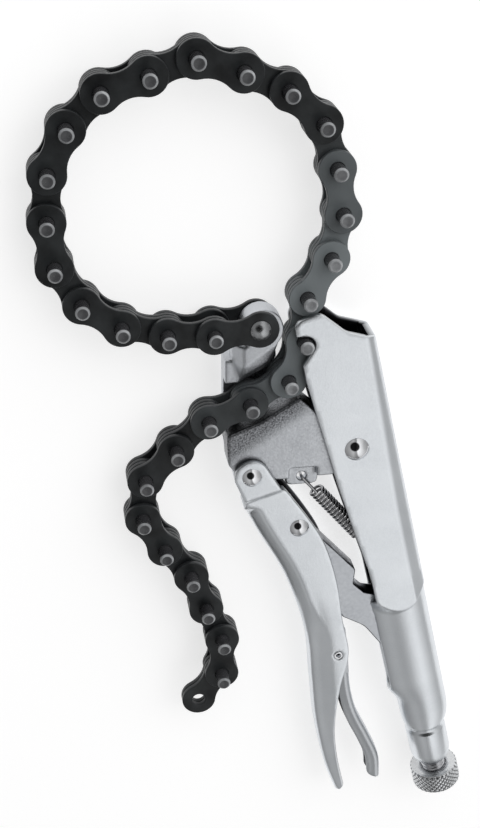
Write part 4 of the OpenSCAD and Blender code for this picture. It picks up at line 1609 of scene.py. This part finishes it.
@dataclass
class Jaw(Piece):
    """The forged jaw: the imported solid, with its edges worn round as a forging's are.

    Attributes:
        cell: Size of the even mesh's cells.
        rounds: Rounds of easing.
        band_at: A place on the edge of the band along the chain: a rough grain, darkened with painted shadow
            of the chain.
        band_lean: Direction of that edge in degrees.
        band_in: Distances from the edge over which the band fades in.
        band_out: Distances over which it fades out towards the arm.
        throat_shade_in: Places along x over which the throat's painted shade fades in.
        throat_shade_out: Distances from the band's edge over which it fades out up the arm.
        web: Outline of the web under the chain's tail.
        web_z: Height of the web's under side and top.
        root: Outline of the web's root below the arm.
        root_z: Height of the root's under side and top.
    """

    cell: float = 0.4
    rounds: int = 8
    band_at: Pair = (-29.5, 7.5)
    band_lean: float = 35.0
    band_in: Pair = (-3.0, 4.0)
    band_out: Pair = (9.0, 13.0)
    throat_shade_in: Pair = (-41.5, -39.0)
    throat_shade_out: Pair = (21.0, 30.0)
    web: tuple[Pair, ...] = (
        *((-42.5, 23.4), (-36.5, 23.4), (-33.5, 22.0), (-30.0, 24.6), (-29.6, 29.5)),
        *((-27.4, 32.4), (-27.8, 37.0), (-34.0, 37.0), (-42.5, 31.0)),
    )
    web_z: Pair = (-8.6, -5.2)
    root: tuple[Pair, ...] = (
        *((-41.5, 30.5), (-36.5, 32.4), (-30.2, 36.6), (-29.0, 38.4), (-35.0, 38.0), (-41.5, 35.0)),
    )
    root_z: Pair = (-8.6, -1.0)

    def build(self) -> None:
        """Makes the forging from a copy of its solid, with its rough band, darkened with painted shadow of
        the chain, and painted shade in its throat.
        """
        mesh = self._eased(self.shop.solids["jaw"])
        places = np.empty(3 * len(mesh.vertices))
        mesh.vertices.foreach_get("co", places)
        plan = (places.reshape(-1, 3) - self.place.origin)[:, :2] / MM
        # Painted shade: the band along the chain, a rough grain darkened by the chain's shadow, and the
        # throat below the arm.
        beyond = (plan - self.band_at) @ heading(self.band_lean + 90.0)
        past = ease(beyond, *self.band_out)
        throat = past * (1.0 - ease(beyond, *self.throat_shade_out)) * ease(plan[:, 0], *self.throat_shade_in)
        grain_and_shade = np.maximum(ease(beyond, *self.band_in) * (1.0 - past), throat).astype(np.float32)
        mesh.attributes.new("worn", "FLOAT", "POINT").data.foreach_set("value", grain_and_shade)
        mesh.polygons.foreach_set("use_smooth", np.ones(len(mesh.polygons), dtype=bool))
        self.shop.add("jaw_forging", mesh, self.finishes.forged, "jaw", Slot.FORGED, "jaw")

    def _eased(self, node: bpy.types.Object) -> bpy.types.Mesh:
        """Copies the solid, joins the web to it, lays an even mesh over both and eases their edges."""
        copy = bpy.data.objects.new("jaw_copy", node.data.copy())
        bpy.context.scene.collection.objects.link(copy)
        work = bmesh.new()
        work.from_mesh(copy.data)
        bmesh.ops.remove_doubles(work, verts=work.verts, dist=WELD_M)
        for outline, (low, high) in ((self.web, self.web_z), (self.root, self.root_z)):
            block = Sheet([np.array(outline)], level(high), high - low, 0.3).build()
            work.from_mesh(self.shop.mesh("jaw_web", block))
        work.to_mesh(copy.data)
        work.free()
        cover = copy.modifiers.new("even", "REMESH")
        cover.mode = "VOXEL"
        cover.voxel_size = self.cell * MM
        soft = copy.modifiers.new("ease", "SMOOTH")
        soft.factor = 0.5
        soft.iterations = self.rounds
        graph = bpy.context.evaluated_depsgraph_get()
        mesh = bpy.data.meshes.new_from_object(copy.evaluated_get(graph))
        bpy.data.objects.remove(copy)
        mesh.name = "jaw_forging"
        return mesh


@dataclass
class ToggleLink(Piece):
    """The flat link from the lever to the adjusting screw.

    Attributes:
        half: Half of its thickness.
        nose: Diameter of its nose.
        gap: Gap between the nose and the screw's tip.
        edge: Radius of its edges.
    """

    half: float = 3.6
    nose: float = 8.0
    gap: float = 0.6
    edge: float = 0.5

    def build(self) -> None:
        """Makes the link: an eye on its rivet, a notched upper edge and a round nose."""
        place = self.place
        x, y = place.pivots["link_swing"]
        nose_r = self.nose / 2.0
        nose = place.pivots["knob_turn"] - (nose_r + self.gap) * place.along
        lean = float(np.degrees(np.arctan2(*place.along[::-1])))
        corner, blend = 1.4 * nose_r, 0.98 * nose_r
        corners = [
            (x - 5.0, y + 9.0, 2.0),
            (2.6, -54.6, 2.0),
            (2.0, -61.0, 1.5),
            (6.4, -65.4, 2.0),
            (11.0, -66.6, 3.0),
            (*(nose + nose_r * heading(lean + 90.0)), 0.0),
            (*(nose + corner * heading(lean + 45.0)), blend),
            (*(nose + corner * heading(lean - 45.0)), blend),
            (*(nose + nose_r * heading(lean - 90.0)), 0.0),
            (7.0, -81.0, 12.0),
            (-1.6, -76.0, 3.0),
            (x - 4.0, y - 6.0, 3.0),
            (x - 7.6, y + 1.0, 4.0),
        ]
        hole = bore((x, y), 2.56, 24)
        surface = Sheet([rounded(corners), hole], level(self.half), 2.0 * self.half, self.edge).build()
        # Its finish paints the edge walls near black, as shade.
        self.shop.add("link_bar", surface, self.finishes.punched_shaded, "toggle_link", Slot.LINK, "toggle_link")


# Spring, screw and knob


@dataclass
class ReturnSpring(Piece):
    """The coil spring, with a straight and a hook at each end.

    Attributes:
        wire: Diameter of the wire.
        coil: Outer diameter of the coil.
        pitch: Length of a turn.
        turns: Number of turns.
    """

    wire: float = 1.15
    coil: float = 6.0
    pitch: float = 1.7
    turns: int = 16

    def build(self) -> None:
        """Makes the wire as a tube: in its own axes x runs from hook to hook."""
        run = np.array(SPRING_LUG) - np.array(SPRING_TAB)
        total = float(np.linalg.norm(run))
        radius = (self.coil - self.wire) / 2.0
        lead = (total - self.turns * self.pitch) / 2.0
        hang = [[0.0, -0.9], [0.0, 0.5], [0.0, radius - 1.1]]
        bend = through(np.array(hang + [[0.35, radius - 0.3], [1.1, radius], [lead - 1.0, radius]]), 8)
        hook = columns(bend[:, 0], 0.0, bend[:, 1])
        angle = np.linspace(0.0, 2.0 * np.pi * self.turns, 24 * self.turns + 1)
        out = columns(0.0, -np.sin(angle), np.cos(angle))
        helix = radius * out + (lead + self.pitch * angle / (2.0 * np.pi))[:, None] * [1.0, 0.0, 0.0]
        path = np.concatenate([hook, helix, hook[::-1] * [-1.0, 1.0, 1.0] + [total, 0.0, 0.0]])
        along = unit(np.gradient(path, axis=0))
        side = columns(-along[:, 2], 0.0, along[:, 0])
        side[len(hook) : len(hook) + len(helix)] = out
        surface = tube(path, side, self.wire / 2.0).turned(spun(unit(run)), np.array([*SPRING_TAB, 0.0]))
        finish = self.finishes.wire
        self.shop.add("spring_coil", surface, finish, "fixed_handle", Slot.SPRING, "return_spring")


@dataclass
class AdjustingScrew(Piece):
    """The screw with its thread, and the knurled knob on its end.

    Attributes:
        screw: Radius of the screw.
        thread_pitch: Length of a turn of its thread.
        thread_depth: Depth of the thread.
        flank: Slope of the thread's flanks, and how far its crest is cut flat.
        tip_at: Where its tip lies along the handle.
        lead_in: Length and depth of the taper at its tip.
        knob_from: Where the knob starts.
        knob_len: Length of the knob.
        knob: Radius of the knob.
        chamfer: Chamfer of its rim.
        knurls: Number of grooves round it, each way.
        knurl_depth: Depth of a groove.
        crest: Heights between which a groove rises to a diamond's top.
    """

    screw: float = 5.0
    thread_pitch: float = 1.5
    thread_depth: float = 0.8
    flank: Pair = (1.25, 0.1)
    tip_at: float = 112.0
    lead_in: float = 1.5
    knob_from: float = 161.0
    knob_len: float = 9.0
    knob: float = 9.8
    chamfer: float = 0.8
    knurls: int = 30
    knurl_depth: float = 0.4
    crest: Pair = (0.05, 0.34)

    def build(self) -> None:
        """Makes the thread and the knob about the handle's axis."""
        self._thread()
        self._knob()

    def _laid(self, rows: Array) -> Array:
        """Lays rings of radius, angle and length along the screw's axis in the drawing."""
        reach = self.place.to_handle(self.place.pivots["knob_turn"])[1]
        radius, angle, along = rows[..., 0], rows[..., 1], rows[..., 2]
        points = columns(along, reach + radius * np.cos(angle), radius * np.sin(angle))
        return self.place.from_handle(points)

    def _thread(self) -> None:
        """Makes the screw: its radius falls and rises once a pitch, and the ridge winds once a turn."""
        last = self.knob_from + self.knob_len / 2.0 - 0.2
        along = np.linspace(self.tip_at, last, int((last - self.tip_at) / self.thread_pitch * 8))
        angle = np.linspace(0.0, 2.0 * np.pi, 56, endpoint=False)
        a, s = np.meshgrid(angle, along)
        wave = np.abs(((s / self.thread_pitch - a / (2.0 * np.pi)) % 1.0) - 0.5) * 2.0
        ridge = np.clip(self.flank[0] * wave - self.flank[1], 0.0, 1.0)
        start = np.minimum((s - self.tip_at) / self.lead_in, 1.0)
        radius = self.screw - self.thread_depth * ridge - self.lead_in * (1.0 - start)
        rows = columns(radius, a, s)
        tip, end = rows[:1] * [0.0, 1.0, 1.0], rows[-1:] * [0.0, 1.0, 1.0]
        surface = Surface.grid(self._laid(np.concatenate([tip, rows, end])))
        finish, body = self.finishes.thread, "adjusting_screw"
        self.shop.add("screw_thread", surface, finish, body, Slot.SCREW, "adjusting_screw")

    def _knob(self) -> None:
        """Makes the knob: two sets of crossing grooves leave diamonds on its rim."""
        rim = np.linspace(self.chamfer, self.knob_len - self.chamfer, 40)
        hole, full = self.screw + 0.06, self.knob
        cut = full - self.chamfer
        seat = [[hole, 3.5], [hole, 0.5], [hole + 0.5, 0.0], [full - 2.2, 0.0]]
        face = [[full - 2.0, 0.15], [cut - 0.2, 0.15], [cut, 0.2]]
        side = columns(full, rim)
        far = self.knob_len
        end = [[cut, far - 0.1], [cut - 0.3, far], [cut - 2.0, far], [cut - 2.4, far - 0.3], [0.0, far - 0.3]]
        profile = np.concatenate([seat, face, side, end])
        angle = np.linspace(0.0, 2.0 * np.pi, self.knurls * 8, endpoint=False)
        a, radius = np.meshgrid(angle, profile[:, 0])
        along = np.repeat(profile[:, 1:], len(angle), axis=1)
        lead = 2.0 * np.pi * full / self.knurls
        turns = a * self.knurls / (2.0 * np.pi)
        grooves = [np.abs(((turns + way * along / lead) % 1.0) - 0.5) * 2.0 for way in (-1.0, 1.0)]
        height = np.minimum(*grooves)
        crest = ease(height, *self.crest)
        shown = ease(radius, cut - 0.1, full)
        radius = radius - self.knurl_depth * (1.0 - crest) * shown
        rows = self._laid(columns(radius, a, along + self.knob_from))
        back = self._laid(columns(0.0, a[:1], along[:1] + self.knob_from))
        surface = Surface.grid(np.concatenate([back, rows]))
        surface.worn[len(angle) :] = (crest * shown).ravel()
        # Painted shade in the knurl's grooves.
        surface.tone[len(angle) :] = ((1.0 - crest) * shown).ravel()
        finish, body = self.finishes.knurl, "adjusting_knob"
        self.shop.add("knurled_knob", surface, finish, body, Slot.KNOB, "adjusting_knob")


# Stage


@dataclass
class Stage:
    """The pale floor, the light and the camera.

    Attributes:
        focal_px: Focal length in pixels of the picture.
        long_side: Long side of the picture in pixels.
        sensor: Length of the camera's sensor in millimetres.
        eye: Place of the camera in metres.
        right: The picture's direction to the right.
        up: The picture's direction upwards.
        bright_way: Direction in which the room is brightest.
        dark_way: Direction of the dark patch that round heads show.
        dark_edge: Cosines of the angles from there at which the patch starts and is full.
        dark: Brightness of the patch as a share of the room's.
        room: Brightness of the room from its dark side to its bright side, as stops of a ramp.
        low: Brightness of the room at the horizon as a share of that high up.
        high_at: Height, as a share of straight up, from which it is bright.
        floor_half: Half of the floor's side in metres.
        floor_grey: Colour of the floor.
        floor_glow: What is added to the floor where it is seen or mirrored.
        lamp_at: Place of the lamp.
        lamp_side: Side of the lamp.
        lamp_glow: Brightness of its face.
    """

    focal_px: float = 1400.0
    long_side: float = 828.0
    sensor: float = 36.0
    eye: Triple = (-0.0785, 0.2501, 0.4490)
    right: Triple = (0.98854, 0.0, 0.15097)
    up: Triple = (0.06859, 0.89083, -0.44912)
    bright_way: Triple = (0.95, 0.05, 0.3)
    dark_way: Triple = (-0.22, 0.2, 0.955)
    dark_edge: Pair = (0.79, 0.87)
    dark: float = 0.02
    room: tuple[Pair, ...] = (
        *((0.25, 0.46), (0.45, 0.6), (0.56, 0.38), (0.625, 0.34)),
        *((0.68, 1.15), (0.8, 1.06), (0.92, 0.82), (0.97, 0.62)),
    )
    low: float = 0.5
    high_at: float = 0.9
    floor_half: float = 8.0
    floor_grey: float = 0.5
    floor_glow: float = 0.68
    lamp_at: Triple = (0.6, 1.1, 0.85)
    lamp_side: float = 2.2
    lamp_glow: float = 1.08

    def build(self) -> None:
        """Makes the camera, floor, room and lamp."""
        self._camera()
        self._floor()
        self._room()
        self._lamp()
        bpy.context.scene.view_settings.view_transform = "Standard"

    @staticmethod
    def _hung(name: str, data: bpy.types.ID, axes: Array, place: Triple) -> bpy.types.Object:
        """Hangs a camera or a lamp in the scene.

        Args:
            name: Name of the object.
            data: Its camera or lamp.
            axes: Its axes, of shape (3, 3), one in each row.
            place: Its place.

        Returns:
            The object.
        """
        thing = bpy.data.objects.new(name, data)
        matrix = np.eye(4)
        matrix[:3, :3] = axes.T
        matrix[:3, 3] = place
        thing.matrix_world = Matrix(matrix.tolist())
        bpy.context.scene.collection.objects.link(thing)
        return thing

    def _camera(self) -> None:
        """Sets the camera where the photograph was taken from."""
        data = bpy.data.cameras.new("camera")
        data.sensor_width = self.sensor
        data.lens = self.focal_px / self.long_side * self.sensor
        data.clip_start = 0.01
        right, up = np.array(self.right), np.array(self.up)
        axes = np.stack([right, up, np.cross(right, up)])
        bpy.context.scene.camera = self._hung("camera", data, axes, self.eye)

    def _floor(self) -> None:
        """Lays a large floor that shows white and keeps the tool's shadow."""
        half, grey = self.floor_half, self.floor_grey
        mesh = bpy.data.meshes.new("floor")
        corners = [(-half, -half, 0.0), (half, -half, 0.0), (half, half, 0.0), (-half, half, 0.0)]
        mesh.from_pydata(corners, [], [(0, 1, 2, 3)])
        floor = bpy.data.objects.new("floor", mesh)
        bpy.context.scene.collection.objects.link(floor)
        material = bpy.data.materials.new("pale_floor")
        nodes = Nodes.cleared(material)
        path = nodes.add("ShaderNodeLightPath")
        seen = nodes.math("MAXIMUM", path.outputs["Is Camera Ray"], path.outputs["Is Glossy Ray"])
        seen = nodes.math("MAXIMUM", seen, path.outputs["Is Transmission Ray"])
        paint = nodes.add("ShaderNodeBsdfDiffuse", {"Color": (grey, grey, grey, 1.0)})
        glow = nodes.add("ShaderNodeEmission", {"Strength": nodes.math("MULTIPLY", seen, self.floor_glow)})
        both = nodes.add("ShaderNodeAddShader", {0: paint.outputs[0], 1: glow.outputs[0]})
        nodes.add("ShaderNodeOutputMaterial", {"Surface": both.outputs[0]})
        mesh.materials.append(material)

    def _room(self) -> None:
        """Makes the room round the tool: dark on one side, bright on the other and dimmer low down."""
        world = bpy.data.worlds.new("room")
        bpy.context.scene.world = world
        nodes = Nodes.cleared(world)
        ray = nodes.add("ShaderNodeTexCoord").outputs["Generated"]
        bright, dark = (
            nodes.add("ShaderNodeVectorMath", {0: ray, 1: way}, operation="DOT_PRODUCT").outputs["Value"]
            for way in (self.bright_way, self.dark_way)
        )
        ramp = nodes.add("ShaderNodeValToRGB", {0: nodes.span(bright, -1.0, 1.0, 0.0, 1.0)})
        stops = ramp.color_ramp.elements
        for place, _ in self.room[2:]:
            stops.new(place)
        for stop, (place, level_here) in zip(stops, self.room):
            stop.position = place
            stop.color = (level_here, level_here, level_here, 1.0)
        high = nodes.add("ShaderNodeSeparateXYZ", {0: ray}).outputs["Z"]
        shade = nodes.span(dark, *self.dark_edge, 1.0, self.dark)
        strength = nodes.math("MULTIPLY", shade, nodes.span(high, 0.0, self.high_at, self.low, 1.0))
        light = nodes.add("ShaderNodeBackground", {"Color": ramp.outputs[0], "Strength": strength})
        nodes.add("ShaderNodeOutputWorld", {"Surface": light.outputs[0]})

    def _lamp(self) -> None:
        """Hangs a square lamp that looks at the middle of the tool, and that metal doesn't mirror."""
        data = bpy.data.lights.new("softbox", "AREA")
        data.size = self.lamp_side
        data.energy = self.lamp_glow * np.pi * self.lamp_side**2
        away = unit(np.array(self.lamp_at))
        across = unit(np.cross([0.0, 1.0, 0.0], away))
        axes = np.stack([across, np.cross(away, across), away])
        self._hung("softbox", data, axes, self.lamp_at).visible_glossy = False


def main() -> None:
    """Builds the stage and every piece."""
    logging.basicConfig(level=logging.INFO, format="%(message)s")
    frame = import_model()
    Stage().build()
    finishes = Finishes()
    shop = Workshop(Placing.read(frame["record"]), frame["nodes"])
    kinds = (Chain, Rivets, FixedHandle, Lever, ReleaseLever, Jaw, ToggleLink, ReturnSpring, AdjustingScrew)
    for kind in kinds:
        kind(shop, finishes).build()


if __name__ == "__main__":
    main()
